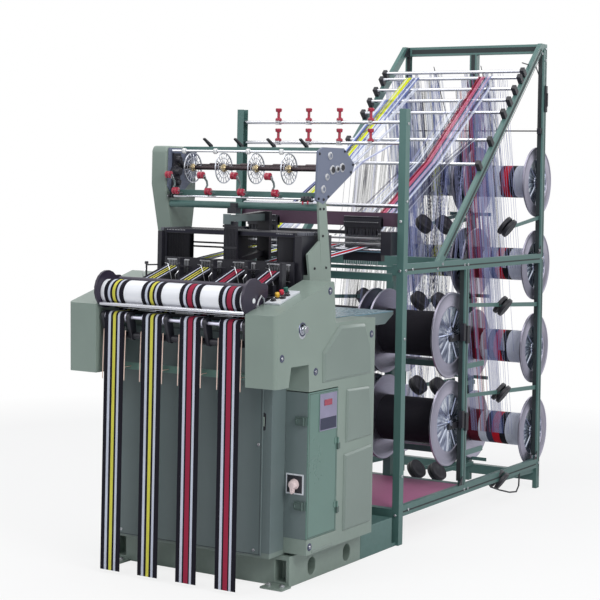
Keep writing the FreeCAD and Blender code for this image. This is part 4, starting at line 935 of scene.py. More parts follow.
# ------------------------------------------------------------------ woven tapes
# Four woven webbings, drawn from the reed between the rollers and hanging to the floor. Warp ribs
# and weft ridges follow the cloth by its own UV map: across from 0 to 1, and along in metres.
REED_X = (-247.5, -82.5, 82.5, 247.5)
TAPE_WIDTH = 96.0
TAPE_THICKNESS = 1.3
BED_RUN = 0.245
FELL = (94.0, 1218.0)
TAPE_END = 13.0


def webbing(name, centre, share):
    """Navy-black webbing with pale edge stripes and a centre stripe of the given share.

    On the bed its stripes are thinner, and the centre one is split."""
    f = Finish(name, specular_ior_level=0.15)
    across = f.uv(0)
    along = f.uv(1)
    dark = rgb(24, 22, 34)
    pale = rgb(224, 230, 246)
    half = share / 2
    hanging = f.ramp(across, [(0.0, dark), (0.19, pale), (0.315, dark), (0.5 - half, centre),
                              (0.5 + half, dark), (0.67, pale), (0.78, dark)], "CONSTANT")
    gap = 0.1 - share * 0.38
    low = gap + share * 0.55
    on_bed = f.ramp(across, [(0.0, dark), (0.18, pale), (0.25, dark), (0.5 - low, centre),
                             (0.5 - gap, dark), (0.5 + gap, centre), (0.5 + low, dark), (0.75, pale),
                             (0.82, dark)], "CONSTANT")
    stripes = f.blend(along.math("LESS_THAN", BED_RUN), hanging, on_bed)
    yarns = (across * (2 * math.pi * 44)).math("SINE")
    picks = (along * (2 * math.pi * 620)).math("SINE")
    weave = yarns * 0.5 + picks * 0.35 + (yarns * picks) * 0.4
    depth = (weave * 0.22 + 0.82).math("MINIMUM", 1.1)
    fade = f.noise(6.0, 3.0)
    f.drive("Base Color", f.scaled(stripes, depth * (fade * 0.24 + 0.88)))
    f.drive("Roughness", fade * 0.16 + 0.66)
    f.bump(weave, 0.55, 0.0007)
    return f.material


def tangent(a, b):
    """Where a straight stretch leaves circle a and reaches circle b, each (y, z, radius, turn)."""
    ay, az, ar, at = a
    by, bz, br, bt = b
    direction = math.atan2(bz - az, by - ay) + math.asin((at * ar - bt * br) / math.hypot(by - ay, bz - az))
    ny = math.sin(direction)
    nz = -math.cos(direction)
    return (ay + at * ar * ny, az + at * ar * nz), (by + bt * br * ny, bz + bt * br * nz)


def belt(stops, step):
    """Line through the stops: straight stretches joined by arcs round each circle."""
    points = []
    arrive = None
    for here, there in zip(stops, stops[1:]):
        leave, reach = tangent(here, there)
        if arrive is not None and here[2] > 0:
            y, z, radius, way = here
            a0 = math.atan2(arrive[1] - z, arrive[0] - y)
            a1 = math.atan2(leave[1] - z, leave[0] - y)
            sweep = (a1 - a0) * way % (2 * math.pi)
            count = max(1, math.ceil(math.degrees(sweep) / step))
            for i in range(1, count):
                angle = a0 + way * sweep * i / count
                points.append((y + radius * math.cos(angle), z + radius * math.sin(angle)))
        points += [leave, reach]
        arrive = reach
    return points


def wrap(place, radius, way):
    """The circle that the middle of a tape follows round a roller."""
    return (*place, radius + 0.35 + TAPE_THICKNESS / 2, way)


last = wrap(DELIVERY, DELIVERY_RADIUS, 1)
line = belt([(*FELL, 0.0, 1), wrap(PRESS, PRESS_RADIUS, -1), wrap(TAKEUP, TAKEUP_RADIUS, 1),
             wrap(RETURN, RETURN_RADIUS, -1), last, (last[0] - last[2], TAPE_END, 0.0, 1)], 6.0)
line = [p for i, p in enumerate(line)
        if i == 0 or math.hypot(p[0] - line[i - 1][0], p[1] - line[i - 1][1]) > 0.3]
YELLOW_TAPE = webbing("webbing_yellow", rgb(238, 232, 96), 0.145)
CRIMSON_TAPE = webbing("webbing_crimson", rgb(172, 48, 76), 0.215)
for index, (reed_x, hang_x) in enumerate(zip(REED_X, HANG_X)):
    form = Form()
    run = 0.0
    rows = []
    share = 0.0
    for i, (y, z) in enumerate(line):
        before = line[max(i - 1, 0)]
        after = line[min(i + 1, len(line) - 1)]
        length = math.hypot(after[0] - before[0], after[1] - before[1])
        ny = -(after[1] - before[1]) / length * TAPE_THICKNESS / 2
        nz = (after[0] - before[0]) / length * TAPE_THICKNESS / 2
        share = max(share, min((FELL[0] - y) / (FELL[0] + 274.0), 1.0))
        x = reed_x + (hang_x - reed_x) * share
        if i:
            run += math.hypot(y - line[i - 1][0], z - line[i - 1][1]) * 0.001
        left, right = x - TAPE_WIDTH / 2, x + TAPE_WIDTH / 2
        rows.append((form.add([(left, y + ny, z + nz), (right, y + ny, z + nz),
                               (right, y - ny, z - nz), (left, y - ny, z - nz)]), run))
    for (a, u), (b, v) in zip(rows, rows[1:]):
        form.face([a, a + 1, b + 1, b], [(0, u), (1, u), (1, v), (0, v)])
        form.face([a + 2, a + 3, b + 3, b + 2], [(1, u), (0, u), (0, v), (1, v)])
        form.face([a + 1, a + 2, b + 2, b + 1], [(1, u), (1, u), (1, v), (1, v)])
        form.face([a + 3, a, b, b + 3], [(0, u), (0, u), (0, v), (0, v)])
    form.face([rows[0][0] + k for k in range(4)], [(0, 0), (1, 0), (1, 0), (0, 0)])
    form.face([rows[-1][0] + k for k in (3, 2, 1, 0)], [(0, run), (1, run), (1, run), (0, run)])
    tape = piece("tape_%d" % (index + 1), form, [YELLOW_TAPE if index < 2 else CRIMSON_TAPE],
                 replaces=["woven_tapes"] if index == 0 else (), slot="tape", angle=50)


# ------------------------------------------------------------------ weaving bed and reed
# Black cast bed with a needle drive, a weft wire and a breast plate for each tape. The reed is a
# row of flat steel dents between two strips, carried on the swinging batten.
BED_TOP = 1126.2
REED_Y = 132
DENTS = 53
sorted_out("weaving_bed", BLACK, 1.6, "black")
sorted_out("reed_batten", BLACK, 0.8, "black")
bed_places = [((x + dx, y, z), (0, 0, 1)) for x in REED_X for dx, y, z in (
    (70, 60, 1126.0), (82, 28, 1126.0), (-60, -70, 1126.0), (60, -70, 1126.0), (76.5, 35, 1250.0))]
repeated("bed_screws", screw_head(4.6, 4.0), bed_places, STEEL)
dent_places = [((x - 52 + i * 2.0, REED_Y, 1178), (0, 0, 1)) for x in REED_X for i in range(DENTS)]
repeated("reed_dents", Form().box(-0.35, 0.35, -3.2, 3.2, 0, 62), dent_places, STEEL, "reed_batten")
strips = Form()
drives = Form()
weft_wires = Form()
for x in REED_X:
    for z0, z1 in ((1240.5, 1246), (1171, 1177)):
        strips.box(x - 56, x + 56, 126.0, 128.0, z0, z1)
    drives.box(x - 62, x - 50, -10, 84, BED_TOP, 1150).box(x + 50, x + 62, -10, 12, BED_TOP, 1168)
    drives.box(x - 50, x + 50, 74, 80, BED_TOP, 1200)
    drives.rod((x - 74, 4, BED_TOP), (x - 74, 4, 1226), 4.0, 10, 1.0)
    drives.rod((x - 74, 4, 1222), (x - 52, 64, 1222), 3.0, 10, 0.8)
    drives.lathe((x - 74, 4, 1226), (0, 0, 1), [(0, 0), (0, 8), (9, 8), (11, 5), (11, 0)], 14)
    weft_wires.tube([(x + 46, 16, 1168), (x + 40, 10, 1206), (x + 16, 30, 1230), (x - 20, 60, 1231)], 1.6, 6)
    weft_wires.tube([(x - 66, -20, 1150), (x - 66, -34, 1190), (x - 60, -20, 1206)], 1.4, 6)
piece("reed_edge_strips", strips, [STEEL], "reed_batten", bevel=0.5)
piece("weft_needle_drives", drives, [BLACK], bevel=1.0)
piece("weft_wires", weft_wires, [STEEL])
pads = Form()
for x in (-165, 0, 165):
    pads.prism([(-88, 1128), (-88, 1143), (-66, 1149), (-52, 1149), (-52, 1128)], "x", x - 26, x + 26)
piece("bed_pads", pads, [moulded("grey_pad", rgb(122, 124, 150), 0.45)], bevel=2.0)


# ------------------------------------------------------------------ heald frames and harness guides
# Twelve thin black aluminium frames, side by side, that slide up and down in comb guides. Each
# holds stacks of heald wires between two slats; odd and even frames ride on two bodies.
FRAMES = 12
FRAME_Y = [169 + 18 * index for index in range(FRAMES)]
FRAME_LOW, FRAME_HIGH = -340, 298
WIRE_PITCH = 3.2
FRAME_EDGE = metal("frame_slat", (0.035, 0.035, 0.048), 0.3, (3.0, 90.0, 90.0))
for group in ("heald_frames_odd", "heald_frames_even"):
    sorted_out(group, BLACK, 0.8, "black")
heald = Form().lathe((0, 0, 0), (0, 0, 1), [(0, 0.5), (164, 0.5)], 4)
for index, y in enumerate(FRAME_Y):
    body = "heald_frames_odd" if index % 2 == 0 else "heald_frames_even"
    shift = (y - 160) * 0.66
    spots = [((x0 + k * WIRE_PITCH, y, 1188), (0, 0, 1))
             for x0, x1 in ((-336, -213 - shift), (-26, 40 - shift * 0.4), (226 - shift, 290))
             for k in range(max(int((x1 - x0) / WIRE_PITCH), 0))]
    repeated("heald_wires_%d" % (index + 1), heald, spots, BLACK, body)
    slats = Form()
    for z in (1355, 1171):
        slats.box(FRAME_LOW, FRAME_HIGH, y - 5.0, y - 4.2, z, z + 14)
    for x in (FRAME_LOW + 2, FRAME_HIGH - 4):
        slats.box(x, x + 4, y - 6.0, y - 4.0, 1190, 1350)
    slats.slot = 1
    for x0, count in ((-334, 12), (212, 10)):
        for k in range(count):
            slats.box(x0 + k * 8, x0 + k * 8 + 3, y - 5.6, y - 4.1, 1364, 1368)
    piece("heald_slats_%d" % (index + 1), slats, [FRAME_EDGE, STEEL], body, bevel=0.3)
sorted_out("harness_guides", BLACK, 1.4, "black")
combs = Form()
for y in FRAME_Y:
    for x0, x1 in ((-368, -352), (310.5, 341)):
        combs.box(x0, x1, y - 6.0, y + 1.0, 1361, 1374)
    combs.box(-371.4, -369, y - 3, y + 3, 1180, 1355)
HARNESS_GREY = moulded("harness_grey", (0.12, 0.125, 0.15), 0.4)
piece("guide_combs", combs, [HARNESS_GREY], bevel=0.8)
brackets = Form()
for x0, x1 in ((-26, -24.4), (6.4, 8)):
    brackets.prism([(136, 1410), (404, 1410), (404, 1440), (212, 1436), (136, 1436)], "x", x0, x1)
brackets.box(-26, 8, 126, 135.4, 1398, 1440)
brackets.prism([(184, 1222), (390, 1262), (390, 1286), (184, 1254)], "x", -27, -24.4)
brackets.box(-27, 8, 172, 182, 1232, 1274)
piece("guide_arm_plates", brackets, [SAGE_DARK], bevel=1.2)
ribs = Form()
for z in (1390, 1300, 1210):
    ribs.box(-36, 36, 139.0, 141.6, z - 5, z + 5)
for k in range(9):
    ribs.box(-30 + k * 7, -27 + k * 7, 139.2, 141.7, 1196, 1380)
ribs.box(-22, 22, 150, 186, 1442, 1466).box(-14, 14, 158, 178, 1466, 1486)
for z in (1306, 1288):
    ribs.rod((-366, 404, z), (-8, 404, z), 4, 10)
piece("guide_front_ribs", ribs, [BLACK], bevel=1.0)


# ------------------------------------------------------------------ head
# A cast cover on the left and a blue-grey side plate on a leg at the right carry the tie bars,
# the rods and the yarn feed. Turned bearings are pressed into the plate, with socket screws round.
PLATE_FACE = 372.0
COVER_LEFT = -450.0
INNER_FACE = -366.8
FEED = (330, 1630)
IDLER = (410, 1640)
SHAFT_ENDS = (-371.7, 361.7)
BLUE_GREY = painted("blue_grey_paint", rgb(104, 112, 134), 0.38)
dressed("head_plate_right", BLUE_GREY, 1.6, slot="blue_grey")
dressed("head_leg_right", SAGE, 2.6, slot="sage")
dressed("head_cover_left", SAGE, 9.0, 3, "sage")
sorted_out("head_bars", TEAL, 1.4, "teal")
levers = Form()
for x in (-249, -91, 72, 232):
    levers.prism([(298, 1752), (304, 1758.5), (364, 1729), (364, 1720.5), (350, 1720.5)], "x",
                 x - 5.5, x + 5.5)
piece("clamp_lever_grips", levers, [RUBBER], bevel=1.6)
bearings = Form()
for y, z, r in ((*FEED, 17), (*IDLER, 17), (309, 1687, 14), (287, 1600, 12), (258, 1550, 14),
                (370, 1634, 12)):
    bearings.lathe((PLATE_FACE + 0.2, y, z), (1, 0, 0), [
        (0, 0), (0, r + 3), (2.5, r + 2.2), (4.4, r - 1), (5.4, r - 1), (5.4, r * 0.62), (3.0, r * 0.58),
        (3.0, 0)], 30)
piece("plate_bearings", bearings, [STEEL], angle=30)
cores = Form()
for y, z, r in ((*FEED, 13), (*IDLER, 13), (370, 1634, 8)):
    cores.lathe((PLATE_FACE + 3.4, y, z), (1, 0, 0), [
        (0, 0), (0, r), (3.4, r), (4.0, r - 0.8), (4.0, r * 0.5), (2.4, r * 0.45), (2.4, 0)])
piece("plate_bearing_cores", cores, [RUBBER])
plate_places = [((PLATE_FACE, y, z), (1, 0, 0)) for y, z in (
    (224, 1694), (430, 1708), (500, 1654), (484, 1622), (300, 1520), (222, 1512), (262, 1508),
    (236, 1470), (264, 1470), (262, 1360), (292, 1230), (200, 1230), (190, 1060), (310, 1060))]
plate_places += [((COVER_LEFT, y, z), (-1, 0, 0)) for y, z in (
    (230, 1690), (400, 1690), (300, 1400), (380, 1060))]
repeated("plate_screws", screw_head(5.2, 4.2), plate_places, RUBBER)
inner = Form().prism([(212, 1712), (420, 1712), (420, 1600), (330, 1530), (240, 1512), (208, 1548)], "x",
                     -371.8, -367.0)
piece("left_inner_plate", inner, [BLUE_GREY], bevel=1.4)
feed_drive = Form()
for y, z, r, w in ((262, 1664, 22, 26), (250, 1612, 26, 34), (264, 1566, 20, 22), (300, 1640, 18, 18),
                   (238, 1530, 12, 20)):
    feed_drive.lathe((INNER_FACE, y, z), (1, 0, 0), [
        (0, 0), (0, r), (w * 0.4, r), (w * 0.45, r * 0.72), (w, r * 0.66), (w + 2, r * 0.5), (w + 2, 0)], 22)
feed_drive.prism([(236, 1690), (290, 1690), (284, 1540), (232, 1540)], "x", -366.9, -358)
piece("left_feed_drive", feed_drive, [BLACK], bevel=0.8)
sorted_out("head_rods", CHROME, 0.4, "chrome")
eyes = Form()
for x in (-300, -140, 24, 187):
    eyes.lathe((x, 230, 1700), (1, 0, 0), [(-9, 5.2), (-9, 9), (-5, 12), (5, 12), (9, 9), (9, 5.2)], 20,
               loop=True)
piece("rod_eyes", eyes, [moulded("white_ceramic", (0.72, 0.73, 0.74), 0.22)], angle=60)
collars = Form()
for x, r, width in ((298, 12.5, 13), (316, 12.5, 13), (334, 12.5, 13), (-366, 9, 9), (-352, 9, 9)):
    collars.lathe((x, 216, 1508), (1, 0, 0), [(0, 4.2), (0, r), (width, r), (width, 4.2)], 20, loop=True)
collars.box(296, 350, 206, 212, 1498, 1504)
piece("rod_collars", collars, [RUBBER], bevel=0.8)
f = Finish("red_knob", roughness=0.24, coat_weight=0.4)
f.drive("Base Color", f.blend(f.noise(12.0), rgb(138, 26, 50), rgb(186, 48, 74)))
f.bump(f.noise(300.0), 0.1, 0.0004)
GLOSS_RED = f.material
tabs = Form().box(306, 312, 200, 206, 1486, 1500).box(330, 336, 200, 206, 1488, 1502)
piece("collar_tabs", tabs, [GLOSS_RED], bevel=0.8)

# Feed discs: an open rim of looped wire round a brass and steel hub, on browned shafts
LOOPS = 18
DARK_SHAFT = metal("browned_shaft", (0.065, 0.05, 0.055), 0.3, (2.0, 80.0, 80.0))
shaft = Form().rod((SHAFT_ENDS[0], *FEED), (SHAFT_ENDS[1], *FEED), 9, 24)
piece("feed_shaft_browned", shaft, [DARK_SHAFT], "feed_shaft", ["feed_shaft"], "aluminium")
shaft = Form().rod((SHAFT_ENDS[0], *IDLER), (SHAFT_ENDS[1], *IDLER), 8, 24)
for x in (-243, -83, 81, 243):
    shaft.lathe((x - 44, *IDLER), (1, 0, 0), [(0, 8.1), (0, 12), (88, 12), (88, 8.1)], loop=True)
piece("idler_shaft_browned", shaft, [DARK_SHAFT], "idler_shaft", ["idler_shaft"], "black")
lace = Form()
hub = Form()
for x in (-323, -163, 1, 164):
    for half, inside, outside, sides in ((2.4, 62, 66, 48), (1.2, 41, 43.5, 40)):
        lace.lathe((x - half, *FEED), (1, 0, 0),
                   [(0, inside), (0, outside), (half * 2, outside), (half * 2, inside)], sides, loop=True)
    for k in range(LOOPS):
        path = []
        for spread, radius in ((0.0, 15), (-0.13, 30), (-0.20, 46), (-0.19, 60), (0.0, 64.5), (0.19, 60),
                               (0.20, 46), (0.13, 30), (0.0, 15)):
            b = 2 * math.pi * k / LOOPS + spread
            path.append((x, FEED[0] + radius * math.cos(b), FEED[1] + radius * math.sin(b)))
        lace.tube(path, 1.15, 5)
    for side in (-1, 1):
        hub.lathe((x, *FEED), (side, 0, 0), [
            (0, 0), (0, 17), (3, 17), (5, 13), (13, 12), (14, 11), (14, 0)], 28)
piece("feed_disc_lace", lace, [ALUMINIUM], "feed_shaft", angle=60)
piece("feed_disc_hubs", hub, [metal("brass_hub", (0.62, 0.50, 0.30), 0.28, (40.0, 8.0, 8.0))],
      "feed_shaft")

# Yarn tensioners: bent arms on the flat bar, each between two red knobs
bent = Form()
knobs = Form()
tips = Form()
for x in (-317, -150, 15, 182):
    ax = x - 17.5
    bent.tube([(ax, y, z) for y, z in ((266, 1521), (232, 1520), (206, 1524), (200, 1540), (214, 1556),
                                       (210, 1572), (192, 1588), (190, 1600))], 4.6)
    for s, y, z in ((-1, 190, 1598), (1, 198, 1530)):
        kx = ax + s * 3
        knobs.lathe((kx, y, z), (s, 0, 0), [(0, 0), (0, 11), (1.5, 15.5), (9, 15.5), (10.5, 12.5),
                                            (15, 12.5), (16.5, 15.5), (24, 15.5), (26, 12), (26, 0)], 20)
        tips.lathe((kx + s * 26, y, z), (s, 0, 0), [(-0.2, 0), (-0.2, 4), (3.0, 4), (3.0, 0)], 14)
    tips.lathe((ax, 194, 1586), (0, -0.6, 0.8), [(0, 0), (0, 7), (12, 7), (12, 0)], 16)
piece("tension_arms", bent, [SAGE_DARK], replaces=["tensioners"], slot="red", angle=60)
piece("tension_knobs", knobs, [GLOSS_RED], angle=40)
piece("tension_tips", tips, [STEEL])


# ------------------------------------------------------------------ creel frame
# Teal channel-steel posts and rails, bolted through black gussets. Chromed guide rods lie in
# cradles on the sloping rails, and red spool guides for the weft stand on the top bar.
POST_FACE = 406
RAIL_X = 386
REAR_Y, REAR_Z = 2446, 1861
BEAM_Z = (1595, 1162, 729, 296)
FRONT_BEAM_Z = (868, 455)
sorted_out("creel_posts", TEAL, 1.2, "teal")
sorted_out("creel_rails", TEAL, 1.2, "teal")
dressed("floor_board", painted("maroon_board", rgb(172, 104, 140), 0.6, 0.2), 1.5, slot="maroon")
rods = Form()
for low, high, faces in islands("creel_rods"):
    c = (low + high) / 2
    rods.rod((low.x, c.y, c.z), (high.x, c.y, c.z), (high.z - low.z) / 2, 24)
piece("creel_rods_drawn", rods, [CHROME], replaces=["creel_rods"], slot="chrome")
sorted_out("creel_brackets", RUBBER, 1.0, "black")
gussets = Form()
for s in (-1, 1):
    gussets.prism([(2396, 2262), (2456, 2262), (2456, 2312), (2436, 2312)], "x", s * 384, s * 379)
    gussets.box(s * 384 if s < 0 else 376, s * 384 + (8 if s < 0 else 0), 2450, 2456, 2200, 2266)
for z in (1223, 155):
    for y in (1556, 2456):
        for low, high in ((406.2, 409.5), (-409.5, -406.2)):
            gussets.prism([(y - 42, z), (y, z), (y, z + 42)], "x", low, high)
piece("corner_gussets", gussets, [RUBBER], bevel=0.8)
wires = Form().tube([(390, 2210, 2200), (388, 2395, 2190), (386, 2440, 2150), (386, 2446, 1872)], 3.0)
wires.rod((-RAIL_X, REAR_Y, REAR_Z), (POST_FACE, REAR_Y, REAR_Z), 3.4, 10)
for x in (-120, 150):
    wires.rod((x, 2230, 2190), (x, REAR_Y, REAR_Z), 2.2, 8)
wires.tube([(396, 1880, 112), (400, 1900, 92), (402, 2000, 62), (404, 2120, 32), (404, 2205, 22),
            (404, 2235, 48), (404, 2240, 112)], 4.0)
piece("yarn_guard_wires", wires, [RUBBER])
clips = Form()
for sizes in ((380, 402, 2436, 2456, 1846, 1876), (406.2, 416, 2468, 2490, 1960, 2098),
              (416, 421, 2472, 2486, 1990, 2060), (-402, -380, 2436, 2456, 1846, 1876)):
    clips.box(*sizes)
for z in FRONT_BEAM_Z:
    for s in (-1, 1):
        clips.box(*sorted((s * 406.2, s * 418)), 1562, 1592, z - 44, z + 40)
        clips.box(*sorted((s * 392, s * 414)), 1532, 1555.5, z - 30, z + 52)
piece("rear_post_brackets", clips, [RUBBER], bevel=2.0)

# Open slots of the channel posts and rails, as flat dark strips on their outer and front faces: painted
# shade in the grooves
slots = Form()
for s in (-1, 1):
    for (y0, z0), (y1, z1), width in (((910, 1196), (2450, 1196), 7), ((910, 127), (2450, 127), 7),
                                      ((1320, 1247), (2420, 2284), 13), ((1576, 152), (1576, 1178), 7),
                                      ((2482, 60), (2482, 2290), 6), ((1330, 1226), (2440, 2273), 4)):
        along = Vector((y1 - y0, z1 - z0)).normalized()
        ny, nz = -along.y * width / 2, along.x * width / 2
        slots.prism([(y0 + ny, z0 + nz), (y1 + ny, z1 + nz), (y1 - ny, z1 - nz), (y0 - ny, z0 - nz)], "x",
                    s * 406.05, s * 406.5)
# Wide dark strips on the front faces of the posts and top bar: painted shade of their slots and of these
# shaded faces.
for x in (-RAIL_X, 0, RAIL_X):
    slots.box(x - 11, x + 11, 2455.4, 2455.9, 172, 2268)
slots.box(-366, 366, 2455.2, 2455.9, 2278, 2302)
for x in (-RAIL_X, RAIL_X):
    slots.box(x - 11, x + 11, 1555.4, 1555.9, 172, 1178)
piece("channel_slots", slots, [moulded("slot_painted_shade", (0.018, 0.026, 0.028), 0.6)])
bolt_places = []
for s in (-1, 1):
    bolt_places += [((s * POST_FACE, y, z), (s, 0, 0)) for y, z in (
        (2476, 2290), (2476, 2230), (2476, 1198), (2476, 131), (1576, 1198), (1576, 131), (1536, 1198),
        (1616, 131), (2430, 2262), (2440, 1240), (2440, 172), (1300, 1210), (1250, 1190), (1000, 1198),
        (1000, 131))]
    bolt_places += [((s * 440, 868, z), (s, 0, 0)) for z in (300, 900, 1198, 1500, 1840)]
    bolt_places += [((s * 423, 848, z), (0, -1, 0)) for z in (131, 1196, 1412)]
repeated("frame_bolts", screw_head(6.5, 5.0), bolt_places, STEEL)
spools = Form()
seats = Form()
for low, high, faces in islands("weft_guides"):
    c = (low + high) / 2
    spools.lathe((c.x, c.y, low.z), (0, 0, 1), [
        (0, 0), (0, 15), (8, 15), (12, 11), (14, 6.5), (38, 6.5), (40, 13), (52, 15), (56, 13), (56, 0)], 20)
    seats.box(c.x - 10, c.x + 10, c.y - 12, c.y + 12, low.z - 18.5, low.z - 0.2)
    seats.rod((c.x, c.y - 26, low.z - 8), (c.x, c.y + 26, low.z - 8), 3.0, 10)
piece("weft_guides_turned", spools, [GLOSS_RED], replaces=["weft_guides"], slot="red")
piece("weft_guide_clips", seats, [STEEL], bevel=1.2)


# ------------------------------------------------------------------ stop motion and guard
# Each yarn holds up a thin drop wire; a fallen one closes a contact and stops the loom. Two
# black toothed blocks with their wires hang on chromed rods, in front of a dark guard panel.
DROP_PITCH = 4.5
TOOTH_PITCH = 8
PIN_PITCH = 11
PANEL = moulded("guard_panel", rgb(88, 66, 84), 0.5)
sorted_out("stop_motion", lambda low, high: (
    PANEL if high.z > 1440 and high.y - low.y < 8 else CHROME if high.z - low.z < 24
    else BLACK), 0.8, "black")
drop_places = [((x0 + DROP_PITCH * i, 828 + 4 * (i % 3), 1264), (0, 0, 1))
               for x0, x1 in ((160, 340), (-348, -194)) for i in range(int((x1 - x0) / DROP_PITCH))]
repeated("drop_wires", Form().box(-0.5, 0.5, -5, 5, 0, 118), drop_places, HARNESS_GREY)
bars = Form()
for z in (1334, 1311, 1286):
    bars.box(-345, 352, 802, 807, z - 4.5, z + 4.5)
piece("stop_motion_bars", bars, [STEEL], bevel=1.2)
blocks = Form()
for x0, x1, top in ((157, 341, 1430), (-350, -192, 1424)):
    blocks.slot = 0
    blocks.box(x0, x1, 812, 840, top - 46, top - 8)
    for x in range(x0, x1 - 6, TOOTH_PITCH):
        blocks.box(x, x + 4, 814, 838, top - 8, top)
    blocks.box(x0, x1, 808, 812, top - 30, top - 26)
    blocks.box(x0, x1 + 6, 812, 846, 1236, 1272)
    blocks.slot = 1
    for k in range(int((x1 - x0) / PIN_PITCH)):
        x = x0 + k * PIN_PITCH
        blocks.box(x + 2, x + 8, 812.5, 815.5, top - 1, top + 1.5)
        blocks.box(x + 2, x + 8, 809.5, 811.5, top - 26, top - 23.5)
        blocks.rod((x + 5, 816, 1238), (x + 5, 816, 1216 + (k % 3) * 4), 1.5, 6)
for x in (345, 352):
    for z in (1284, 1302, 1320, 1338, 1356):
        blocks.box(x, x + 4, 786.5, 789, z - 3, z + 3)
piece("stop_motion_blocks", blocks, [BLACK, STEEL], bevel=0.5)


# ------------------------------------------------------------------ brake levers and motor
# A steel lever with a pair of black cast weights brakes each rear beam; levers and cross bars are
# painted with the frame. The front beams have brake rods, and the motor has a ribbed cowl.
LEVER_END = 2455
WEIGHT_PROFILE = [(-9, 0), (-9, 20), (-8, 22), (-8, 40), (-9, 43), (-9, 48), (-7, 50), (7, 50), (9, 48),
                  (9, 43), (8, 40), (8, 22), (9, 20), (9, 0)]
bars = Form()
discs = Form()
for z in BEAM_Z:
    top = z > 1500
    rear_drop, thick, tip_y, tip_drop = (176, 20, 2057, 227) if top else (192, 22, 2022, 187)
    for x, lean in ((-391, -1), (-72, -1), (45, -1), (391, 1)):
        front, drop = (2035, 230) if top else (1602, 150) if abs(x) > 300 and z > 500 else (2000, 180)
        bars.prism([(LEVER_END, z - rear_drop), (LEVER_END, z - rear_drop - thick),
                    (front, z - drop - thick + 4), (front, z - drop)], "x", x - 3, x + 3)
        for shift in (-13, 13):
            discs.lathe((x + shift * lean * 0.8, tip_y + shift * 0.4, z - tip_drop - shift * 0.5),
                        (lean * 0.8, 0.12, -0.59), WEIGHT_PROFILE, 32)
    bars.box(-120, 120, LEVER_END, LEVER_END + 6, z - 186, z - 168)
for z in FRONT_BEAM_Z:
    bars.box(-RAIL_X, RAIL_X, 1598, 1622, z - 170, z - 142)
    for x in (-402, 392):
        bars.box(x, x + 10, 1597, 1790, z - 168, z - 144)
piece("brake_lever_bars", bars, [TEAL], replaces=["brake_levers"], slot="black", bevel=0.8)
piece("brake_weights", discs, [RUBBER])
brake_rods = Form()
for z in FRONT_BEAM_Z:
    brake_rods.rod((-RAIL_X, 1590, z - 134), (RAIL_X, 1590, z - 134), 6, 16)
    for x in (-372, -34, 34, 372):
        brake_rods.box(x - 14, x + 14, 1584, 1598, z - 150, z - 118)
piece("front_brake_rods", brake_rods, [STEEL], bevel=0.8)
dressed("drive_motor", RUBBER, 1.2, slot="black")
FINS = 14
MOTOR_X, MOTOR_Z = 250, 230
fins = Form()
for k in range(FINS):
    a = math.pi * k / (FINS - 1)
    c, s = math.cos(a), math.sin(a)
    fins.prism([(MOTOR_X + r * c - w * s, MOTOR_Z + r * s + w * c)
                for r, w in ((60, 1.4), (60, -1.4), (68, -1.4), (68, 1.4))], "y", 586, 740)
piece("motor_fins", fins, [RUBBER])


# ------------------------------------------------------------------ warp beams
# Spun and turned flanges with a bright rim and a ribbed, recessed dish, pressed on a tube; the
# yarn is wound on in bands of colour. The map of a flange holds its turn and its radius.
RIBS = 9
FLANGE_STARTS = ((28.5, 1), (375.5, -1))
YARN = {
    "white": rgb(222, 227, 242), "lavender": rgb(158, 164, 208), "slate": rgb(66, 67, 92),
    "black": rgb(22, 20, 29), "red": rgb(204, 24, 44), "maroon": rgb(96, 20, 40),
    "crimson": rgb(176, 36, 72), "rose": rgb(198, 110, 140),
    "yellow": rgb(220, 226, 54), "pink": rgb(214, 178, 196), "blue": rgb(112, 128, 188)}
REAR_1_RIGHT = (("maroon", .22), ("black", .31), ("white", .455), ("maroon", .52), ("red", .63),
                ("black", .71), ("white", 1))
REAR_RIGHT = (("maroon", .18), ("white", .32), ("slate", .425), ("red", .547), ("black", .65), ("white", 1))
REAR_LEFT = (("white", .255), ("black", .35), ("yellow", .49), ("black", .56), ("white", .8), ("slate", 1))
PLAIN_BLACK = (("black", 1),)


def band_starts(bands):
    """Where each band of colour begins, from (colour, end) shares."""
    return [0.0] + [end for colour, end in bands[:-1]]


def winding(name, bands, low, high):
    """Wound yarn: bands of colour along X as (colour, end) shares, close turns and a cross lay."""
    f = Finish(name, specular_ior_level=0.2)
    x = f.place("X")
    wobble = (f.noise(30.0, 2.0) - 0.5) * 0.012
    stops = [(start, YARN[colour]) for start, (colour, end) in zip(band_starts(bands), bands)]
    if len(stops) == 1:
        stops.append((1.0, stops[0][1]))
    colour = f.ramp((x - low * 0.001) * (1000.0 / (high - low)) + wobble, stops, "CONSTANT")
    turns = ((x + f.place("Z") * 0.02) * (2 * math.pi * 560)).math("SINE")
    coarse = f.noise(4.0, 3.0, f.stretched(120.0, 6.0, 6.0))
    f.drive("Base Color", f.scaled(colour, coarse * 0.5 + turns * 0.12 + 0.72))
    f.drive("Roughness", coarse * 0.2 + 0.6)
    f.bump(turns * 0.5 + coarse, 0.6, 0.0012)
    return f.material


def on_map(f, turn_scale, radius_scale):
    """Noise that is stretched along the turn or the radius of a mapped lathe form."""
    return f.noise(1.0, 3.0, f.node("ShaderNodeCombineXYZ", inputs={
        0: f.uv(0) * turn_scale, 1: f.uv(1) * radius_scale}))


f = Finish("turned_flange", metallic=1.0)
rings = on_map(f, 3.0, 420.0)
f.drive("Base Color", f.blend(rings, (0.27, 0.26, 0.34), (0.52, 0.50, 0.60)))
f.drive("Roughness", rings * 0.24 + 0.22)
f.bump(rings, 0.3, 0.0008)
TURNED = f.material
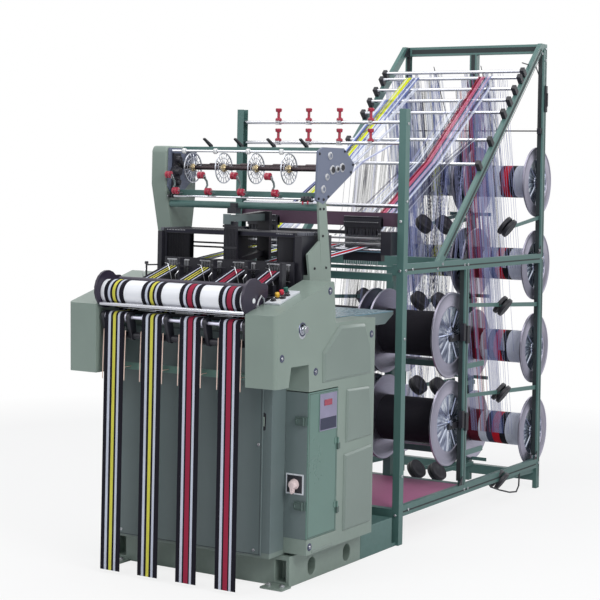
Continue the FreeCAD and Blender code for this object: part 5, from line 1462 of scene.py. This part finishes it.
# Radial streaks from near black to near white in the dish's colour: partly spinning marks, partly painted
# reflection.
f = Finish("spun_dish_painted_glints", metallic=1.0)
glint_streaks = on_map(f, 34.0, 14.0)
f.drive("Base Color", f.ramp(glint_streaks, [(0.30, (0.10, 0.11, 0.18)), (0.46, (0.26, 0.29, 0.41)),
                                    (0.58, (0.55, 0.60, 0.72)), (0.68, (0.92, 0.94, 1.0))]))
f.drive("Roughness", glint_streaks * 0.2 + 0.16)
f.bump(glint_streaks, 0.5, 0.0012)
DISH = f.material


def dish_ribs(form, centre, start, way, reach):
    """Pressed ribs of a flange's dish, high at the hub and running out towards its rim."""
    x, y, z = centre
    for k in range(RIBS):
        a = 2 * math.pi * (k + 0.5) / RIBS
        c, s = math.cos(a), math.sin(a)
        tip = form.add([(x * (start + way * 3.7), y + r * c - w * s, z + r * s + w * c)
                        for r, w in ((38, -7), (38, 7), (reach - 4, 3), (reach - 4, -3))]
                       + [(x * (start + way * 0.7), y + r * c, z + r * s) for r in (38, reach - 8)])
        around = [(k / RIBS, 0.05)] * 4
        for corners in ((0, 4, 5, 3), (1, 2, 5, 4), (0, 1, 4), (3, 5, 2), (0, 3, 2, 1)):
            form.face([tip + i for i in corners], around[:len(corners)])


def flanged_beam(side, y, z, flange, wound):
    """One beam on its side of the creel: two flanges with ribbed dishes, and the wound yarn."""
    form = Form()
    dish = flange * 0.66
    for start, way in FLANGE_STARTS:
        form.slot = 0
        form.lathe((side * start, y, z), (side * way, 0, 0), [
            (3.6, dish), (0.6, dish + 3), (0.6, dish + 9), (1.8, dish + 11), (1.8, flange - 12),
            (0.4, flange - 10), (0, flange - 2), (1.5, flange), (8.5, flange), (10, flange - 2),
            (10, flange - 9), (9, flange - 11), (9, wound * 0.6), (8, 15)], 72, mapped=True)
        form.slot = 1
        form.lathe((side * start, y, z), (side * way, 0, 0), [
            (-8, 0), (-8, 13.9), (-1, 13.9), (-1, 30), (0.5, 33), (0.5, 38), (3.6, 42), (3.6, dish)],
            72, mapped=True)
        dish_ribs(form, (side, y, z), start, way, dish)
    form.slot = 2
    form.lathe((side * 38.0, y, z), (side, 0, 0), [
        (0, 0), (0, wound - 1.5), (6, wound), (110, wound - 1), (214, wound), (320, wound),
        (328, wound - 1.5), (328, 0)], 48)
    return form


for row, y, z, flange, wound, right, left in (
        ("rear_1", 2476, BEAM_Z[0], 182, 84, REAR_1_RIGHT, REAR_LEFT),
        ("rear_2", 2476, BEAM_Z[1], 182, 84, REAR_RIGHT, REAR_LEFT),
        ("rear_3", 2476, BEAM_Z[2], 182, 84, REAR_RIGHT, REAR_LEFT),
        ("rear_4", 2476, BEAM_Z[3], 182, 84, REAR_RIGHT, REAR_LEFT),
        ("front_1", 1475, FRONT_BEAM_Z[0], 202, 107, PLAIN_BLACK, PLAIN_BLACK),
        ("front_2", 1475, FRONT_BEAM_Z[1], 202, 107, PLAIN_BLACK, PLAIN_BLACK)):
    mirrored = [(colour, 1.0 - start) for (colour, end), start in zip(left, band_starts(left))][::-1]
    for side, sign, bands, low in (("right", 1, right, 38.5), ("left", -1, mirrored, -365.5)):
        node = "warp_beam_%s_%s" % (row, side)
        piece(node + "_wound", flanged_beam(sign, y, z, flange, wound),
              [TURNED, DISH, winding("yarn_" + node, bands, low, low + 327.0)], node, [node], "aluminium")


# ------------------------------------------------------------------ warp threads
# Separate yarns under tension: up from the beams to the guide rods, down over the last rod through
# the stop motion, and on through the healds to the reed. A few neighbours share a colour.
SLOPE_RATIO = 1092.0 / 1158.0
ROD_RADIUS = 9.9
ROD_Y = (2205.0, 2168.0, 2104.0, 2040.0, 1972.0, 1822.0, 1694.0)
ROD_PLACES = [(y, 1223.0 + (y - 1261.0) * SLOPE_RATIO + 44.0) for y in ROD_Y]
LAST_ROD = len(ROD_Y) - 1
THREADS = {}
for name, colour in YARN.items():
    f = Finish("thread_" + name, specular_ior_level=0.2)
    fleck = f.noise(160.0, 2.0)
    f.drive("Base Color", f.blend(fleck, shade(colour, 0.8), shade(colour, 1.15)))
    f.drive("Roughness", fleck * 0.2 + 0.6)
    THREADS[name] = f.material
THREAD_ORDER = list(THREADS)
chance = random.Random(7)


def threads(form, x0, x1, route, pitch, width, pick):
    """Yarns side by side along (y, z, shift, spread) stops; pick gives each its colour, or none."""
    middle = (x0 + x1) / 2
    w = width / 2
    for i in range(int((x1 - x0) / pitch)):
        x = x0 + (i + 0.5) * pitch + chance.uniform(-0.25, 0.25) * pitch
        colour = pick((x - x0) / (x1 - x0))
        if colour is None:
            continue
        form.slot = THREAD_ORDER.index(colour)
        rings = []
        for y, z, shift, spread in route:
            at = middle + shift + (x - middle) * spread
            rings.append(form.add([(at - w, y, z - w * 0.6), (at + w, y, z - w * 0.6), (at, y, z + w)]))
        form.face([rings[0], rings[0] + 2, rings[0] + 1])
        form.face([rings[-1], rings[-1] + 1, rings[-1] + 2])
        for a, b in zip(rings, rings[1:]):
            for j, k in ((0, 1), (1, 2), (2, 0)):
                form.face([a + j, a + k, b + k, b + j])


def runs(*weighted):
    """A picker that keeps one colour for a few neighbouring yarns, from (colour, weight) pairs."""
    colours, weights = zip(*weighted)
    state = {"left": 0, "colour": None}

    def pick(_share):
        if state["left"] == 0:
            state["left"] = chance.randint(1, 4)
            state["colour"] = chance.choices(colours, weights)[0]
        state["left"] -= 1
        return state["colour"]
    return pick


PALE_MIX = (("white", 4), ("lavender", 7), ("blue", 3), (None, 4), ("slate", 2), ("black", 1))
DARK_MIX = (("white", 3), ("lavender", 4), ("blue", 4), (None, 4), ("slate", 3), ("black", 1))
SPARSE = (("white", 4), ("slate", 4), ("lavender", 2), (None, 7))
FRONT_MIX = (("black", 3), ("slate", 2), ("lavender", 1), (None, 6))
CRIMSON_MIX = (("crimson", 3), ("maroon", 3), ("rose", 4), ("lavender", 2), (None, 6))
COOL_MIX = (("lavender", 6), ("white", 3), ("blue", 3), ("slate", 1), (None, 4))
REAR_GROUPS = ((-342, -202, 3.0, PALE_MIX), (-202, -140, 6.0, SPARSE), (-140, -62, 3.4, DARK_MIX),
               (62, 86, 3.4, DARK_MIX), (86, 168, 3.0, CRIMSON_MIX), (168, 244, 3.0, COOL_MIX),
               (244, 342, 14.0, (("lavender", 1), (None, 2))))
FRONT_GROUPS = ((-342, -62, 4.2, FRONT_MIX), (62, 342, 5.0, FRONT_MIX))
form = Form()
for y, z, wound, way, rod, groups in (
        (2476, BEAM_Z[0], 84, -1, 0, REAR_GROUPS), (2476, BEAM_Z[1], 84, -1, 1, REAR_GROUPS),
        (2476, BEAM_Z[2], 84, -1, 2, REAR_GROUPS), (2476, BEAM_Z[3], 84, -1, 3, REAR_GROUPS),
        (1475, FRONT_BEAM_Z[0], 107, 1, 6, FRONT_GROUPS), (1475, FRONT_BEAM_Z[1], 107, 1, 5, FRONT_GROUPS)):
    start, end = tangent((y, z, wound + 1.2, way), ROD_PLACES[rod] + (ROD_RADIUS, 1))
    for x0, x1, pitch, mix in groups:
        threads(form, x0, x1, (start + (0, 1), end + (0, 1)), pitch, 1.7, runs(*mix))
piece("threads_upright", form, list(THREADS.values()), angle=10)

# Down the slope: each lane leaves its own rod, closes up at the last rod and goes to the guard
RED_LANE = (("red", 1), ("crimson", 6), ("rose", 5), ("maroon", 2), (None, 3))
PINK_LANE = (("pink", 3), ("white", 2), ("rose", 2), ("lavender", 3), ("slate", 1), (None, 3))
SLATE_LANE = (("slate", 4), ("blue", 4), ("black", 1), ("white", 2))
YELLOW_LANE = (("yellow", 8), ("white", 1), (None, 1))
WHITE_LANE = (("white", 5), ("blue", 3), ("slate", 1), (None, 1))
lean_y, lean_z = -math.sin(math.atan(SLOPE_RATIO)) * 10.0, math.cos(math.atan(SLOPE_RATIO)) * 10.0
form = Form()
for x0, x1, rod, pitch, mix in (
        (82, 125, 4, 3.0, SPARSE), (125, 168, 3, 3.0, SPARSE), (170, 208, 1, 2.1, RED_LANE),
        (208, 246, 1, 2.6, PINK_LANE), (243, 284, 2, 3.0, SPARSE), (284, 340, 5, 4.0, SPARSE),
        (62, 90, 6, 4.0, SPARSE), (-314, -250, 3, 2.4, SLATE_LANE), (-250, -214, 1, 1.8, YELLOW_LANE),
        (-214, -168, 1, 2.4, WHITE_LANE), (-168, -140, 2, 3.0, SPARSE), (-140, -112, 4, 3.0, SPARSE),
        (-119, -66, 5, 3.6, SPARSE), (-290, -262, 6, 3.0, SPARSE)):
    first, last = ((ROD_PLACES[k][0] + lean_y, ROD_PLACES[k][1] + lean_z) for k in (rod, LAST_ROD))
    turn_off, end = tangent(ROD_PLACES[LAST_ROD] + (ROD_RADIUS, 1), (888.0, 1310.0 + rod * 5, 0.0, 1))
    x = (x0 + x1) / 2
    pull = (35 + (x - 82) * 0.845 if x > 0 else -351 + (x + 232) * (0.75 if x > -240 else 0.42)) - x
    close = 0.0 if x > 0 else -300 + (x + 232) * 0.8 - x
    spread = 0.45 if x < -240 else 0.9
    route = [first + (0, 1), last + (pull, spread), turn_off + (pull, spread), end + (close, spread)]
    threads(form, x0, x1, route if rod < LAST_ROD else route[1:], pitch, 1.6, runs(*mix))
piece("threads_sloping", form, list(THREADS.values()), angle=10)


def tape_pick(centre):
    """A picker for the warp of one tape: its centre stripe, two white bands, and black."""
    def pick(share):
        if abs(share - 0.5) < 0.11:
            return centre
        return "white" if 0.17 < abs(share - 0.5) < 0.32 else "black"
    return pick


form = Form()
for x, centre in zip(REED_X, ("yellow", "yellow", "red", "red")):
    threads(form, x - 44, x + 44, ((139.5, 1222.2, 0, 1), (880, 1301.9, 0, 1)), 1.5, 0.95, tape_pick(centre))
piece("threads_head", form, list(THREADS.values()), replaces=["warp_sheets"], slot="yarn", angle=10)


# ------------------------------------------------------------------ sizes of the source and the scene
# The reach of the source's forms and of the dressed object, side by side.
low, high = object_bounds()
{"cad": [list(cad_low), list(cad_high)], "scene": [list(low), list(high)]}
